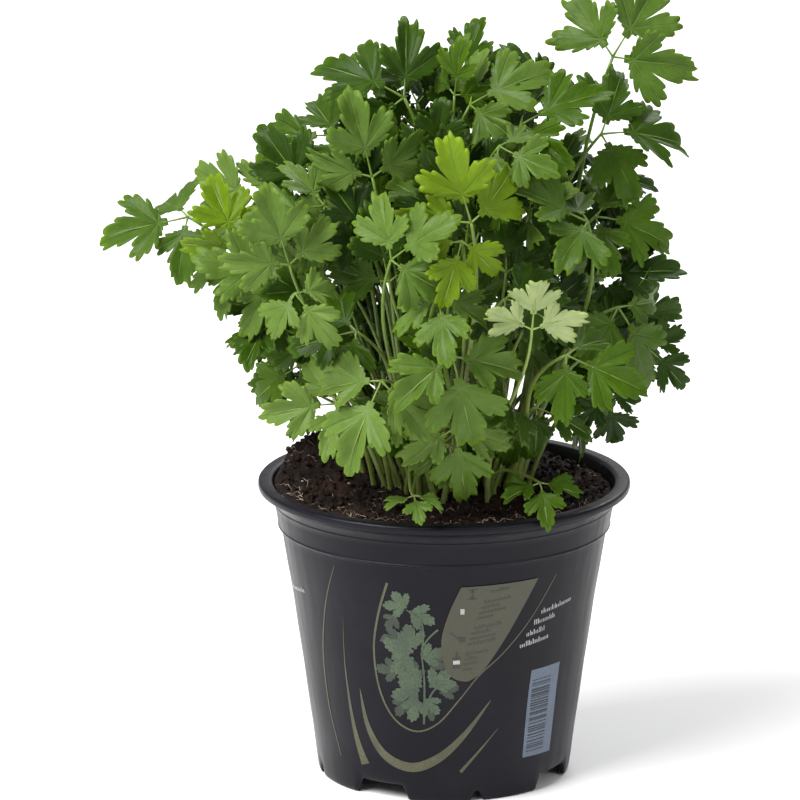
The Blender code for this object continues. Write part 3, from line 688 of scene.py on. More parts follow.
def leaf_skin(key, leaf, placing):
    """One whole leaf: its stalk, the stalklets and the leaflets with their ribs."""
    fork, roll, shrink, swing, bow = placing
    size = leaf.size * shrink
    rng = Random(LEAF_SEED + key)
    t, s, n = leaf_axes(leaf.aim, leaf.face, roll)
    skin = Skin()
    tint = rng.random()
    route = stalk_route(fork, t, swing, bow, STALK_STEPS)
    route = [route[0] - UP * depth for depth in BURIED] + route
    thick = 0.50 + 0.020 * size
    radii = [thick * (1.15 - 0.62 * i / (len(route) - 1)) for i in range(len(route))]
    add_tube(skin, route, radii, s)
    plan = leaflet_plan(size, leaf.leaflets)
    last = max(item[1] for item in plan)
    steps = range(STALKLET_STEPS)
    if last:
        rachis = smooth_path(fork, t, fork + t * last, t, STALKLET_STEPS)
        add_tube(skin, rachis, [radii[-1] * (1 - 0.05 * i) for i in steps], s)
    for number, station, degrees, stem, length in plan:
        axes = leaflet_axes(key, number, t, n, degrees)
        length *= FULLER
        centre = fork + t * station
        out = turn(t, n, degrees)
        origin = centre + out * (stem + HUB)
        end = origin + axes[0] * length * 0.1 - axes[2] * (BLADE_HALF * 0.4)
        stalklet = smooth_path(centre - out * 0.3, out, end, axes[0], STALKLET_STEPS)
        add_tube(skin, stalklet, [radii[-1] * 0.86 * (1 - 0.1 * i) for i in steps], axes[1])
        rib = []
        for i in range(RIB_STEPS):
            a = 0.06 + 0.8 * i / (RIB_STEPS - 1)
            spot = axes[0] * a - axes[2] * CAD_ARCH * a * a
            rib.append(origin + length * spot - axes[2] * RIB_SINK)
        add_tube(skin, rib, [RIB_R * (1 - i / 6.6) for i in range(RIB_STEPS)], axes[1])
        side = (degrees > 0) - (degrees < 0)
        add_leaflet(skin, rng, origin, axes, length, SIDE_LEAN * side, tint)
    return skin


def leaf_piece(name, skin, mats):
    """A leaf's object, with the leaflet coordinates and tints that its materials read."""
    ob = mesh_piece(name, skin.verts, skin.faces, mats)
    mesh = ob.data
    order = {"top": 0, "under": 1, "stalk": 2}
    mesh.polygons.foreach_set("material_index", [order[kind] for kind in skin.kinds])
    layer = mesh.uv_layers.new(name="leaf")
    tints = mesh.color_attributes.new("tint", "FLOAT_COLOR", "POINT")
    for loop in mesh.loops:
        layer.data[loop.index].uv = skin.uvs[loop.vertex_index]
    for i, colour in enumerate(skin.tints):
        tints.data[i].color = colour
    return ob


# leaf colour: deep and bright green, vein, glow and roughness of its upper side; the dark and light tones
# are shaded and lit copies of the mid green, painted shade and a painted sheen
TOPS = {
    "leaf_dark": (
        (0.009, 0.027, 0.001), (0.034, 0.080, 0.004), (0.08, 0.15, 0.02), (0.07, 0.16, 0.002), 0.42),
    "leaf_mid": (
        (0.019, 0.052, 0.001), (0.066, 0.138, 0.004), (0.12, 0.20, 0.03), (0.12, 0.24, 0.003), 0.44),
    "leaf_light": (
        (0.050, 0.110, 0.006), (0.150, 0.245, 0.045), (0.22, 0.32, 0.10), (0.19, 0.33, 0.010), 0.46),
    "leaf_lime": (
        (0.100, 0.185, 0.003), (0.200, 0.320, 0.010), (0.28, 0.38, 0.05), (0.28, 0.43, 0.005), 0.46),
    "leaf_under": (
        (0.18, 0.27, 0.05), (0.30, 0.39, 0.12), (0.42, 0.48, 0.24), (0.32, 0.43, 0.07), 0.5),
}
BACK = ((0.085, 0.150, 0.030), (0.175, 0.260, 0.070), (0.30, 0.38, 0.15), (0.20, 0.34, 0.02), 0.55)
PALE_BACK = ((0.28, 0.37, 0.12), (0.48, 0.56, 0.28), (0.64, 0.67, 0.44), (0.38, 0.48, 0.12), 0.58)
BACK_VEINS = 0.5


def leaf_materials():
    """Upper, under and stalk materials for each leaf colour in the record."""
    stalk = stalk_material("stalk", (0.20, 0.26, 0.06), (0.105, 0.190, 0.012))
    pale_stalk = stalk_material("stalk_pale", (0.27, 0.35, 0.10), (0.20, 0.29, 0.04))
    back = leaf_material("leaf_back", *BACK, BACK_VEINS)
    pale_back = leaf_material("leaf_pale_back", *PALE_BACK, BACK_VEINS)
    mats = {tone: (leaf_material(f"{tone}_top", *look), back, stalk) for tone, look in TOPS.items()}
    mats["leaf_under"] = (mats["leaf_under"][0], pale_back, pale_stalk)
    mats["leaf_lime"] = (mats["leaf_lime"][0], back, pale_stalk)
    return mats


def build_leaves(mats):
    """The leaves of the CAD, each in its own place; gives the thin sheets they fill."""
    taken = []
    for key, leaf in enumerate(LEAVES, 1):
        name = f"leaf_{key:02d}"
        placing = find_placing(key, leaf, name)
        piece = leaf_piece(f"{name}_grown", leaf_skin(key, leaf, placing), mats[leaf.tone])
        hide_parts(name)
        settle(piece)
        taken.append(leaf_ghost(key, leaf, placing))
    return taken


# ---- leaves inside the bush

# outline of a plain leaflet, as turns in degrees and reaches from its eye
GHOST_EDGE = ((0, 0.86), (20, 0.7), (45, 0.66), (62, 0.58), (85, 0.3), (180, 0.14),
              (-85, 0.3), (-62, 0.58), (-45, 0.66), (-20, 0.7))
GHOST_MIDDLE = 0.55
GHOST_STALK = 0.8
GHOST_STEPS = 9
INNER_SEED = 512
INNER_KEY = 200
MOST_ALIGNED = 0.9
# where the bush is filled: middle (mm), half widths (mm), tries, leaves, leaflet sizes, colours, mostly the
# painted shade tone inside the bush
INNER_ZONES = (
    ((4, -36, 128), (24, 14, 20), 700, 16, (11, 15), ("leaf_light", "leaf_mid", "leaf_mid")),
    ((-4, -14, 172), (42, 28, 34), 1500, 40, (13, 18), ("leaf_mid", "leaf_dark", "leaf_dark", "leaf_light")),
    ((36, -2, 160), (22, 30, 40), 900, 24, (12, 17), ("leaf_dark", "leaf_dark", "leaf_mid")),
    ((-40, 0, 160), (22, 28, 34), 700, 16, (12, 17), ("leaf_mid", "leaf_mid", "leaf_dark", "leaf_light")),
    ((0, 8, 208), (36, 26, 18), 700, 18, (13, 18), ("leaf_mid", "leaf_mid", "leaf_dark", "leaf_light")),
    ((0, 34, 165), (46, 24, 42), 900, 34, (13, 19), ("leaf_mid", "leaf_dark", "leaf_dark")),
)


def leaf_ghost(key, leaf, placing):
    """Box and face tree of a leaf's few main faces, enough to test whether two leaves cross."""
    fork, roll, shrink, swing, bow = placing
    t, s, n = leaf_axes(leaf.aim, leaf.face, roll)
    points = []
    faces = []
    for i, point in enumerate(stalk_route(fork, t, swing, bow, GHOST_STEPS)):
        points += [point - s * GHOST_STALK, point + s * GHOST_STALK]
        if i:
            k = 2 * i
            faces.append((k - 2, k - 1, k + 1, k))
    for number, station, degrees, stem, length in leaflet_plan(leaf.size * shrink, leaf.leaflets):
        along, across, normal = leaflet_axes(key, number, t, n, degrees)
        origin = fork + t * station + turn(t, n, degrees) * (stem + HUB)
        rib = len(points)
        for a in (LEAF_EYE, GHOST_MIDDLE):
            points.append(origin + length * (along * a - normal * CAD_ARCH * a * a))
        for turn_by, reach in GHOST_EDGE:
            a = LEAF_EYE + reach * cos(radians(turn_by))
            b = reach * sin(radians(turn_by))
            lift = CAD_FOLD * abs(b) - CAD_ARCH * a * a
            points.append(origin + length * (along * a + across * b + normal * lift))
        for i, (turn_by, _) in enumerate(GHOST_EDGE):
            j = (i + 1) % len(GHOST_EDGE)
            ahead = max(abs(turn_by), abs(GHOST_EDGE[j][0])) < LOBE_TURN
            faces.append((rib + ahead, rib + 2 + i, rib + 2 + j))
    low = [min(p[i] for p in points) for i in range(3)]
    high = [max(p[i] for p in points) for i in range(3)]
    return low, high, BVHTree.FromPolygons(points, faces)


def crosses(ghost, taken):
    """Whether a leaf cuts through any of those already in place."""
    low, high, tree = ghost
    for other_low, other_high, other in taken:
        near = all(low[i] < other_high[i] and high[i] > other_low[i] for i in range(3))
        if near and tree.overlap(other):
            return True
    return False


def anyhow(rng):
    """Random vector with parts from -1 to 1."""
    return Vector((rng.uniform(-1, 1), rng.uniform(-1, 1), rng.uniform(-1, 1)))


def inner_leaf(rng, middle, half, sizes, tones):
    """A random leaf in a zone of the bush, opening outwards, with its placing."""
    spot = anyhow(rng)
    while spot.length >= 1:
        spot = anyhow(rng)
    fork = Vector(m + h * c for m, h, c in zip(middle, half, spot))
    way = Vector((fork.x / 55, fork.y / 50, (fork.z - 150) / 60))
    wobble = anyhow(rng)
    aim = way + wobble * 0.7 + UP * 0.15
    face = Vector((way.x * 0.5, -0.85 if fork.y < 22 else 0.6, 0.55)) + wobble.yzx * 0.4
    leaf = Leaf(fork, aim, face, rng.uniform(*sizes), 3, rng.choice(tones))
    placing = (fork, rng.uniform(-15, 15), 1.0, rng.uniform(-45, 45), rng.uniform(-0.2, 0.2))
    return leaf, placing


def build_inner_leaves(mats, taken):
    """Smaller leaves that fill the bush behind and between the named ones."""
    made = 0
    for number, (middle, half, tries, wanted, sizes, tones) in enumerate(INNER_ZONES):
        rng = Random(INNER_SEED + number)
        for _ in range(tries):
            leaf, placing = inner_leaf(rng, middle, half, sizes, tones)
            if abs(leaf.aim.normalized().dot(leaf.face.normalized())) > MOST_ALIGNED:
                continue
            key = INNER_KEY + made
            ghost = leaf_ghost(key, leaf, placing)
            if crosses(ghost, taken):
                continue
            taken.append(ghost)
            made += 1
            piece = leaf_piece(f"inner_{made:03d}", leaf_skin(key, leaf, placing), mats[leaf.tone])
            settle(piece)
            wanted -= 1
            if wanted == 0:
                break


# ---- pot

# outer side of the pot in mm, from the rim's inner edge over the lip and down to the foot
LIP = (
    (55.0, 95.2), (55.15, 96.0), (55.7, 96.5), (56.4, 96.6), (59.0, 96.6), (59.6, 96.45),
    (59.95, 96.0), (60.0, 95.4), (60.0, 94.6), (59.85, 94.15), (59.4, 93.95),
)
COLLAR = (
    (58.3, 93.5), (57.2, 92.7), (56.2, 91.6), (55.4, 90.5), (55.05, 89.9), (55.15, 89.65),
    (55.05, 89.4), (54.75, 89.15), (54.45, 87.5), (54.0, 85.0), (53.65, 82.9), (53.6, 82.4),
    (53.78, 82.15), (53.65, 81.85), (53.1, 81.5), (52.65, 81.2), (52.45, 80.7),
)
WALL_LINE = (
    (52.2, 79.0), (51.4, 74.0), (50.6, 69.0), (49.7, 64.0), (48.95, 59.5), (48.4, 55.9),
    (47.6, 50.0), (46.7, 44.0), (45.4, 35.6), (44.3, 27.0), (43.4, 20.5), (42.6, 15.3),
    (41.8, 9.0), (41.45, 6.0), (41.05, 3.0),
)
FOOT = (
    (40.75, 1.2), (40.5, 0.35), (40.2, 0.02), (39.6, 0.0), (39.2, 0.1), (39.05, 0.5),
    (39.2, 2.5), (39.3, 4.2), (38.9, 4.9),
)
FLOOR = ((24.0, 4.9), (9.2, 4.9), (8.7, 4.6), (8.5, 0.3), (8.3, 0.0), (0.001, 0.0))
INSIDE = (
    (0.001, 6.2), (20.0, 6.2), (37.6, 6.2), (39.2, 6.8), (40.2, 7.9), (44.1, 35.6),
    (48.5, 64.0), (51.1, 80.0), (52.1, 82.3), (53.3, 89.5), (54.2, 92.6), (54.75, 94.3),
)
POT_STEPS = 240
NOTCH_TURNS = (-30, 60, 150, 240)
NICK_TURNS = (15, 105, 195, 285)
NOTCH_HALF = 13.6
NOTCH_SLOPE = 2.6
NOTCH_H = 4.8
NICK_HALF = 2.3
NICK_H = 3.3
FOOT_ZONE = 7.5
FOOT_CEILING = 5.2
DRAIN_RING = 30.0
DRAIN_R = 3.5
WELD = 0.004
SHARP_TURN = 50


def wall_radius(z):
    """Outer radius of the pot at a height below the collar, in mm."""
    rows = COLLAR[-1:] + WALL_LINE + FOOT[:2]
    for (high_r, high), (low_r, low) in zip(rows, rows[1:]):
        if z >= low:
            break
    share = (z - low) / (high - low)
    return low_r + (high_r - low_r) * share


def gap_from(angle, middles):
    """Smallest turn in degrees between an angle and any of the middles."""
    return min(abs((angle - middle + 180) % 360 - 180) for middle in middles)


def foot_lift(angle):
    """Height in mm of the foot's lower edge: raised in the notches and the small nicks."""
    off = gap_from(angle, NOTCH_TURNS)
    lift = NOTCH_H * min(1.0, max(0.0, (NOTCH_HALF - off) / NOTCH_SLOPE))
    nick = gap_from(angle, NICK_TURNS)
    if nick < NICK_HALF:
        lift = max(lift, NICK_H * sqrt(1 - (nick / NICK_HALF) ** 2))
    return lift


def build_pot():
    """The moulded pot: its profile swept round, with the foot raised in the notches."""
    profile = LIP + COLLAR + WALL_LINE + FOOT + FLOOR + INSIDE
    outer_end = len(LIP) + len(COLLAR) + len(WALL_LINE) + len(FOOT)
    verts = []
    for step in range(POT_STEPS):
        angle = 360 * step / POT_STEPS
        lift = foot_lift(angle)
        a = radians(angle)
        for i, (r, z) in enumerate(profile):
            if i < outer_end and z < FOOT_ZONE:
                z = lift + z * (FOOT_ZONE - lift) / FOOT_ZONE
                if i >= outer_end - 3:
                    z = min(z, FOOT_CEILING)
            verts.append((r * sin(a) * MM, -r * cos(a) * MM, z * MM))
    rows = len(profile)
    faces = []
    for step in range(POT_STEPS):
        here = step * rows
        there = (step + 1) % POT_STEPS * rows
        for i in range(rows - 1):
            faces.append((here + i, here + i + 1, there + i + 1, there + i))
        faces.append((here + rows - 1, here, there, there + rows - 1))
    pot = mesh_piece("pot_moulded", verts, faces, [pot_material()])
    clean(pot.data, WELD * MM)
    drill(pot)
    pot.data.set_sharp_from_angle(angle=radians(SHARP_TURN))
    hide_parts("pot")
    settle(pot)


def drill(pot):
    """Four drain holes through the floor."""
    rods = bmesh.new()
    for angle in NOTCH_TURNS:
        a = radians(angle)
        place = Matrix.Translation(Vector((DRAIN_RING * sin(a), -DRAIN_RING * cos(a), 6)) * MM)
        bmesh.ops.create_cone(rods, cap_ends=True, segments=28, radius1=DRAIN_R * MM,
                              radius2=DRAIN_R * MM, depth=8 * MM, matrix=place)
    mesh = bpy.data.meshes.new("rods")
    rods.to_mesh(mesh)
    rods.free()
    tool = bpy.data.objects.new("rods", mesh)
    bpy.context.scene.collection.objects.link(tool)
    cut = pot.modifiers.new("drain", "BOOLEAN")
    cut.object = tool
    cut.solver = "EXACT"
    bpy.context.view_layer.update()
    ready = pot.evaluated_get(bpy.context.evaluated_depsgraph_get())
    drilled = bpy.data.meshes.new_from_object(ready)
    pot.modifiers.clear()
    pot.data = drilled
    bpy.data.objects.remove(tool, do_unlink=True)


def pot_material():
    """Black moulded plastic with faint wall streaks and soil dust near the rim."""
    n = Nodes("pot_plastic")
    coords = n.object_coords()
    fine = n.noise(900, 4, 0.6, coords)
    cloud = n.noise(38, 5, 0.62, coords)
    high = n.steps(n.split(coords)["Z"], 74 * MM, 96.5 * MM)
    specks = n.steps(n.noise(520, 2, 0.5, coords), 0.66, 0.72)
    marks = n.math("MULTIPLY", specks, n.math("MULTIPLY", high, n.steps(cloud, 0.5, 0.62)), clamp=True)
    haze = n.math("MULTIPLY", n.steps(cloud, 0.42, 0.75), 0.5)
    colour = n.blend(haze, (0.0040, 0.0037, 0.0072), (0.0095, 0.0090, 0.0160))
    colour = n.blend(marks, colour, (0.012, 0.008, 0.006))
    streak = n.noise(1.0, 3, 0.5, n.stretched(coords, (260, 260, 14)))
    shine = n.steps(streak, 0.3, 0.7, 0.30, 0.40)
    n.shade("Base Color", colour)
    n.shade("Roughness", n.math("ADD", shine, n.math("MULTIPLY", marks, 0.4), clamp=True))
    n.shade("Specular IOR Level", 0.16)
    fine_bump = n.bump(fine, 0.04 * MM, 0.5)
    height = n.math("ADD", streak, n.math("MULTIPLY", marks, 2.0))
    n.shade("Normal", n.bump(height, 0.12 * MM, 0.5, fine_bump))
    return n.mat


# ---- print on the pot

# heights over the wall in mm
INK_LIFT = 0.05
INK_THICK = 0.05
STEM_LIFT = INK_LIFT + 0.19
PANEL_LIFT = INK_LIFT + 0.22
MARK_LIFT = INK_LIFT + 0.29
BAR_LIFT = INK_LIFT + 0.07
FINEST_HALF = 0.03
INK_WELD = 0.0005
WORD_SLOPE = 0.12
# ink: fresh and worn colour, and the slot it stands for
INKS = {
    "ink_gold": ((0.072, 0.071, 0.034), (0.045, 0.045, 0.022), "print_gold"),
    "ink_green_dark": ((0.026, 0.041, 0.021), (0.016, 0.026, 0.014), "print_green"),
    "ink_green": ((0.056, 0.088, 0.045), (0.030, 0.048, 0.027), "print_green"),
    "ink_olive": ((0.046, 0.045, 0.024), (0.036, 0.036, 0.020), "print_olive"),
    "ink_dark": ((0.012, 0.012, 0.012), (0.020, 0.019, 0.015), "print_grey"),
    "ink_pale": ((0.42, 0.44, 0.42), (0.3, 0.31, 0.28), "print_white"),
    "ink_white": ((0.42, 0.43, 0.43), (0.25, 0.26, 0.27), "print_white"),
    "ink_blue": ((0.095, 0.125, 0.180), (0.075, 0.098, 0.140), "print_blue"),
    "ink_black": ((0.008, 0.009, 0.013), (0.014, 0.016, 0.022), "print_grey"),
}


def degree_length(z):
    """Length in mm of one degree round the wall at a height."""
    return wall_radius(z) * pi / 180


def on_wall(degrees, z, lift):
    """Point on the pot's outer wall at a turn from the front and a height in mm."""
    r = wall_radius(z) + lift
    a = radians(degrees)
    return Vector((r * sin(a), -r * cos(a), z)) * MM


def ink_material(name, colour, worn):
    """Printed ink: slightly uneven, with fine worn spots."""
    n = Nodes(name)
    coords = n.object_coords()
    wear = n.noise(1400, 3, 0.6, coords)
    wash = n.noise(120, 3, 0.5, coords)
    tone = n.math("ADD", n.math("MULTIPLY", wear, 0.5), n.math("MULTIPLY", wash, 0.5))
    n.shade("Base Color", n.blend(n.steps(tone, 0.4, 0.62), worn, colour))
    n.shade("Roughness", n.steps(wash, 0.3, 0.7, 0.37, 0.50))
    n.shade("Normal", n.bump(wear, 0.02 * MM, 0.4))
    return n.mat


class Ink:
    """Thin closed film of print that follows the wall; shapes are given in degrees and mm."""

    def __init__(self):
        self.verts = []
        self.faces = []

    def grid(self, rows, lift):
        """rows of (degrees, z) with equal counts become one film with a closed edge."""
        count = len(rows[0])
        start = len(self.verts)
        for level in (lift + INK_THICK, lift):
            for row in rows:
                self.verts += [on_wall(d, z, level) for d, z in row]
        size = count * len(rows)

        def at(i, j, low=0):
            return start + low * size + i * count + j

        for i in range(len(rows) - 1):
            for j in range(count - 1):
                self.faces.append((at(i, j), at(i, j + 1), at(i + 1, j + 1), at(i + 1, j)))
                self.faces.append((at(i, j, 1), at(i + 1, j, 1), at(i + 1, j + 1, 1), at(i, j + 1, 1)))
        last = len(rows) - 1
        ring = [(0, j) for j in range(count)]
        ring += [(i, count - 1) for i in range(1, len(rows))]
        ring += [(last, j) for j in range(count - 2, -1, -1)]
        ring += [(i, 0) for i in range(last - 1, 0, -1)]
        for (i, j), (k, m) in zip(ring, ring[1:] + ring[:1]):
            self.faces.append((at(i, j), at(i, j, 1), at(k, m, 1), at(k, m)))

    def stroke(self, points, widths, samples=26, lift=INK_LIFT):
        """Tapered line through points; widths in mm at its start, middle and end."""
        line = through(points, samples)
        first, middle, last = widths
        rows = []
        for i, (d, z) in enumerate(line):
            before, after = line[max(0, i - 1)], line[min(samples - 1, i + 1)]
            scale = degree_length(z)
            run = Vector(((after[0] - before[0]) * scale, after[1] - before[1])).normalized()
            u = i / (samples - 1)
            width = (1 - u) * (1 - 2 * u) * first + 4 * u * (1 - u) * middle + u * (2 * u - 1) * last
            half = max(FINEST_HALF, 0.5 * width)
            rows.append([(d - run.y * half / scale * s, z + run.x * half * s) for s in (-1, 1)])
        self.grid(rows, lift)

    def bar(self, start, end, thick, lift=INK_LIFT):
        self.stroke((start, end), (thick, thick, thick), 10, lift)

    def between(self, left, right, samples, across, lift=INK_LIFT):
        """Fill between two edges, each a list of points from top to bottom."""
        rows = []
        for a, b in zip(through(left, samples), through(right, samples)):
            rows.append([(a[0] + (b[0] - a[0]) * j / across, a[1] + (b[1] - a[1]) * j / across)
                         for j in range(across + 1)])
        self.grid(rows, lift)

    def leaflet(self, key, centre, heading, size, lift):
        """Flat picture of a leaflet, its base at centre and its tip towards heading in degrees."""
        edge = outline(Random(key), 0.0)
        a = radians(heading)
        rows = []
        for share in (0.02, 0.5, 1.0):
            row = []
            for angle, reach in edge + edge[:1]:
                x = LEAF_EYE + reach * share * cos(angle)
                y = reach * share * sin(angle)
                across = size * (x * cos(a) - y * sin(a))
                up = size * (x * sin(a) + y * cos(a))
                z = centre[1] + up
                row.append((centre[0] + across / degree_length(z), z))
            rows.append(row)
        self.grid(rows, lift)

    def piece(self, name, ink):
        colour, worn, slot = INKS[ink]
        ob = mesh_piece(name, self.verts, self.faces, [ink_material(ink, colour, worn)], smooth=False)
        clean(ob.data, INK_WELD * MM)
        settle(ob)


def through(points, samples):
    """Evenly stepped points on a smooth curve through the given ones."""
    if len(points) == 2:
        (ax, ay), (bx, by) = points
        shares = [i / (samples - 1) for i in range(samples)]
        return [(ax + (bx - ax) * u, ay + (by - ay) * u) for u in shares]
    path = []
    last = len(points) - 1
    for i in range(samples):
        where = i / (samples - 1) * last
        k = min(int(where), last - 1)
        u = where - k
        p = [Vector(points[max(0, min(last, k + j))]) for j in (-1, 0, 1, 2)]
        spot = 0.5 * (2 * p[1] + (p[2] - p[0]) * u + (2 * p[0] - 5 * p[1] + 4 * p[2] - p[3]) * u * u
                      + (3 * p[1] - p[0] - 3 * p[2] + p[3]) * u ** 3)
        path.append((spot.x, spot.y))
    return path


def print_strokes():
    """Tapered grass-like strokes round the left and below the picture, and its outline."""
    gold = Ink()
    gold.stroke(((-42.5, 78), (-51, 61), (-56, 44), (-56.5, 28), (-52, 11)), (0.15, 0.6, 0.3))
    gold.stroke(((-41.3, 60.5), (-42.9, 44), (-42.4, 30), (-40.2, 18), (-37, 10.5)), (0.1, 1.1, 3.4))
    sweep = ((-36.4, 37), (-34, 24.5), (-27, 15.2), (-15, 11.6), (-3, 15), (8, 23), (19, 34.8))
    gold.stroke(sweep, (0.1, 3.2, 0.1), 40)
    gold.stroke(((23, 24.8), (15, 17.4), (7, 10.3)), (0.1, 0.7, 1.1))
    border = ((-20.8, 75.2), (-25.5, 63), (-28.1, 51.5), (-27, 38), (-21.5, 28.5), (-12.4, 24.4),
              (-3, 27.2), (6, 35.6), (13.5, 43.6), (23.3, 51), (33.5, 61), (43.5, 75))
    gold.stroke(border, (0.8, 0.55, 0.3), 64)
    gold.piece("print_strokes", "ink_gold")


# leaflets of the printed picture: base (degrees and mm), heading in degrees, length in mm
LIGHT_LEAFLETS = (
    ((-14, 68), 185, 8.0), ((-14, 67), 130, 7), ((-13, 66), 335, 9), ((-12, 52), 165, 10.5),
    ((-11, 53), 110, 9), ((-12, 50), 215, 9.5), ((-9, 50), 20, 8), ((-10, 39), 200, 10),
    ((-9, 40), 150, 9), ((-6, 40), 40, 9), ((-3, 42), 350, 6.5), ((-11, 36), 255, 8.5),
    ((-8, 36), 310, 7),
)
DARK_LEAFLETS = (
    ((-18, 45), 180, 8), ((-16, 57), 195, 8), ((-5, 46), 60, 8), ((-15, 35), 235, 7),
    ((-2, 38), 20, 6.5), ((-7, 33), 290, 5), ((-18, 64), 230, 6), ((-12, 42), 90, 7),
)
PICTURE_STEMS = (
    ((-14, 66.5), (-8.5, 62), (-8.5, 52)), ((-9, 53), (-6, 57), (-2.5, 60)),
    ((-9, 52), (-8, 42), (-8.5, 27)), ((-1, 41), (-5, 38), (-8, 31)),
)


def print_picture():
    """Soft picture of leaves inside the outline, in two greens, with stalks."""
    dark = Ink()
    light = Ink()
    for key, (centre, heading, size) in enumerate(LIGHT_LEAFLETS, 1):
        light.leaflet(100 + key, centre, heading, size, INK_LIFT + 0.02 + 0.012 * key)
    for key, (centre, heading, size) in enumerate(DARK_LEAFLETS, 1):
        dark.leaflet(200 + key, centre, heading, size, INK_LIFT + 0.012 * (key % 2))
    for stem in PICTURE_STEMS:
        light.stroke(stem, (0.4, 0.6, 0.7), 12, STEM_LIFT)
    dark.piece("print_leaves_dark", "ink_green_dark")
    light.piece("print_leaves_light", "ink_green")


def word_line(ink, rng, start, long, heights, lift):
    """A slightly rising row of small upright marks that stands for a line of words."""
    d = start[0]
    while d < start[0] + long:
        tall = rng.choice(heights)
        z = start[1] + (d - start[0]) * WORD_SLOPE
        step = rng.uniform(0.62, 1.0)
        ink.bar((d, z + tall / 2), (d + step * 0.46, z + tall / 2 + 0.03), tall, lift)
        d += step


# icons on the panel as bars: start, end (degrees and mm) and thickness in mm
PANEL_ICONS = (
    ((8.2, 73.6), (11.4, 73.7), 0.3), ((8.2, 70.4), (11.4, 70.5), 0.3), ((9.8, 73.4), (9.8, 70.6), 0.3),
    ((9.1, 72.6), (9.8, 73.4), 0.25), ((9.1, 71.4), (9.8, 70.6), 0.25),
    ((10.5, 72.6), (9.8, 73.4), 0.25), ((10.5, 71.4), (9.8, 70.6), 0.25),
    ((2.0, 58.9), (5.6, 56.4), 0.35), ((5.2, 56.4), (7.6, 56.6), 1.7), ((3.0, 50.0), (6.0, 50.2), 0.9),
    ((4.1, 51.4), (4.9, 51.4), 1.6), ((3.0, 47.0), (6.0, 47.2), 1.0),
)
# word lines on the panel: start (degrees and mm) and length in degrees
PANEL_LINES = (
    (16.5, 72.2, 7), (14.2, 68.6, 10), (13.3, 66.8, 7), (12.6, 65.0, 10), (12, 63.2, 6), (10.8, 59.8, 11),
    (10, 58.0, 7), (9.4, 56.2, 10), (9, 54.4, 10), (8, 51.0, 8), (7.6, 49.2, 5), (7.2, 47.4, 5),
    (7.0, 45.6, 4),
)


def print_panel():
    """Olive care panel with plain icons and word lines."""
    panel = Ink()
    left = ((5.7, 74.6), (1.6, 66), (-1.3, 56), (0.2, 47), (3.6, 43), (7.8, 41.9))
    right = ((35.0, 75.2), (30, 66.5), (24.5, 57.5), (18, 48.8), (13.8, 44.2), (9.2, 41.9))
    panel.between(left, right, 26, 14, PANEL_LIFT)
    panel.piece("print_panel", "ink_olive")
    marks = Ink()
    for start, end, thick in PANEL_ICONS:
        marks.bar(start, end, thick, MARK_LIFT)
    rng = Random(5)
    for d, z, long in PANEL_LINES:
        word_line(marks, rng, (d, z), long, (0.7, 0.7, 0.8, 1.2), MARK_LIFT)
    marks.piece("print_panel_marks", "ink_dark")
    lights = Ink()
    lights.bar((5.6, 66.2), (7.1, 66.2), 1.9, MARK_LIFT)
    lights.bar((3.2, 48.6), (5.8, 48.7), 1.3, MARK_LIFT)
    lights.piece("print_panel_lights", "ink_pale")


# word lines on the wall: start (degrees and mm) and length in degrees
WORD_LINES = (
    (38.5, 62.2, 15.5), (35.6, 58.8, 10.0), (32.6, 55.2, 8.2), (30.0, 51.6, 13.2), (-80.0, 62.4, 16.0),
)


def print_words():
    """White word lines and a striped label, with no lettering."""
    rng = Random(7)
    words = Ink()
    for d, z, long in WORD_LINES:
        word_line(words, rng, (d, z), long, (1.05, 1.05, 1.15, 1.8), INK_LIFT)
    words.piece("print_words", "ink_white")
    label = Ink()
    label.between(((36.6, 43.0), (36.0, 28), (36.2, 12.8)), ((52.4, 43.4), (52.6, 28), (53.0, 12.6)), 20, 10)
    label.piece("print_label", "ink_blue")
    bars = Ink()
    z = 14.6
    while z < 39.5:
        thick = rng.choice((0.25, 0.25, 0.4, 0.6))
        bars.bar((37.8, z), (47.8, z + 0.15), thick, BAR_LIFT)
        z += thick + rng.choice((0.35, 0.5, 0.8))
    bars.piece("print_label_bars", "ink_black")


# ---- soil

SOIL_TURNS = 168
SOIL_RINGS = 62
FLOOR_Z = 6.6
SOIL_SIDES = ((52.9, 88.8), (50.7, 80.0), (43.7, 35.6), (39.6, 8.4), (37.3, FLOOR_Z), (20.0, FLOOR_Z))
EDGE_RISE = 3.8
LOW_EDGE_TURN = 40
HEAP = (-38, 14)
HEAP_H = 11.0
HEAP_SPREAD = 330


def crumble(x, y):
    """Rough crumb height in mm at a place on the soil."""
    place = Vector((x, y, 0.0))
    big = noise.noise(place * 0.16)
    mid = noise.noise(place * 0.42 + Vector((9, 4, 1)))
    small = noise.noise(place * 1.05 + Vector((2, 7, 3)))
    return 1.4 * big + 1.5 * mid + 1.15 * small


def edge_rise(angle):
    """Height in mm by which the soil stands up the wall: high at the left and front, low at the right."""
    return EDGE_RISE * (0.5 - 0.5 * cos(angle - radians(LOW_EDGE_TURN))) ** 0.7


def soil_radius(angle):
    """Radius in mm at which the soil meets the wall at a turn."""
    return soil_wall(SOIL_LEVEL + edge_rise(angle))


def soil_height(x, y):
    """Height in mm of the crumbly soil surface, with its heap and raised edge."""
    angle = atan2(y, x)
    r = min(1.0, hypot(x, y) / soil_radius(angle))
    edge = min(1.0, max(0.0, (1.0 - r) / 0.05))
    heap = HEAP_H * exp(-((x - HEAP[0]) ** 2 + (y - HEAP[1]) ** 2) / HEAP_SPREAD) * edge
    rise = edge_rise(angle) * r ** 3
    return soil_top(x, y) - 0.4 + heap + rise + crumble(x, y) * (0.3 + 0.7 * edge)


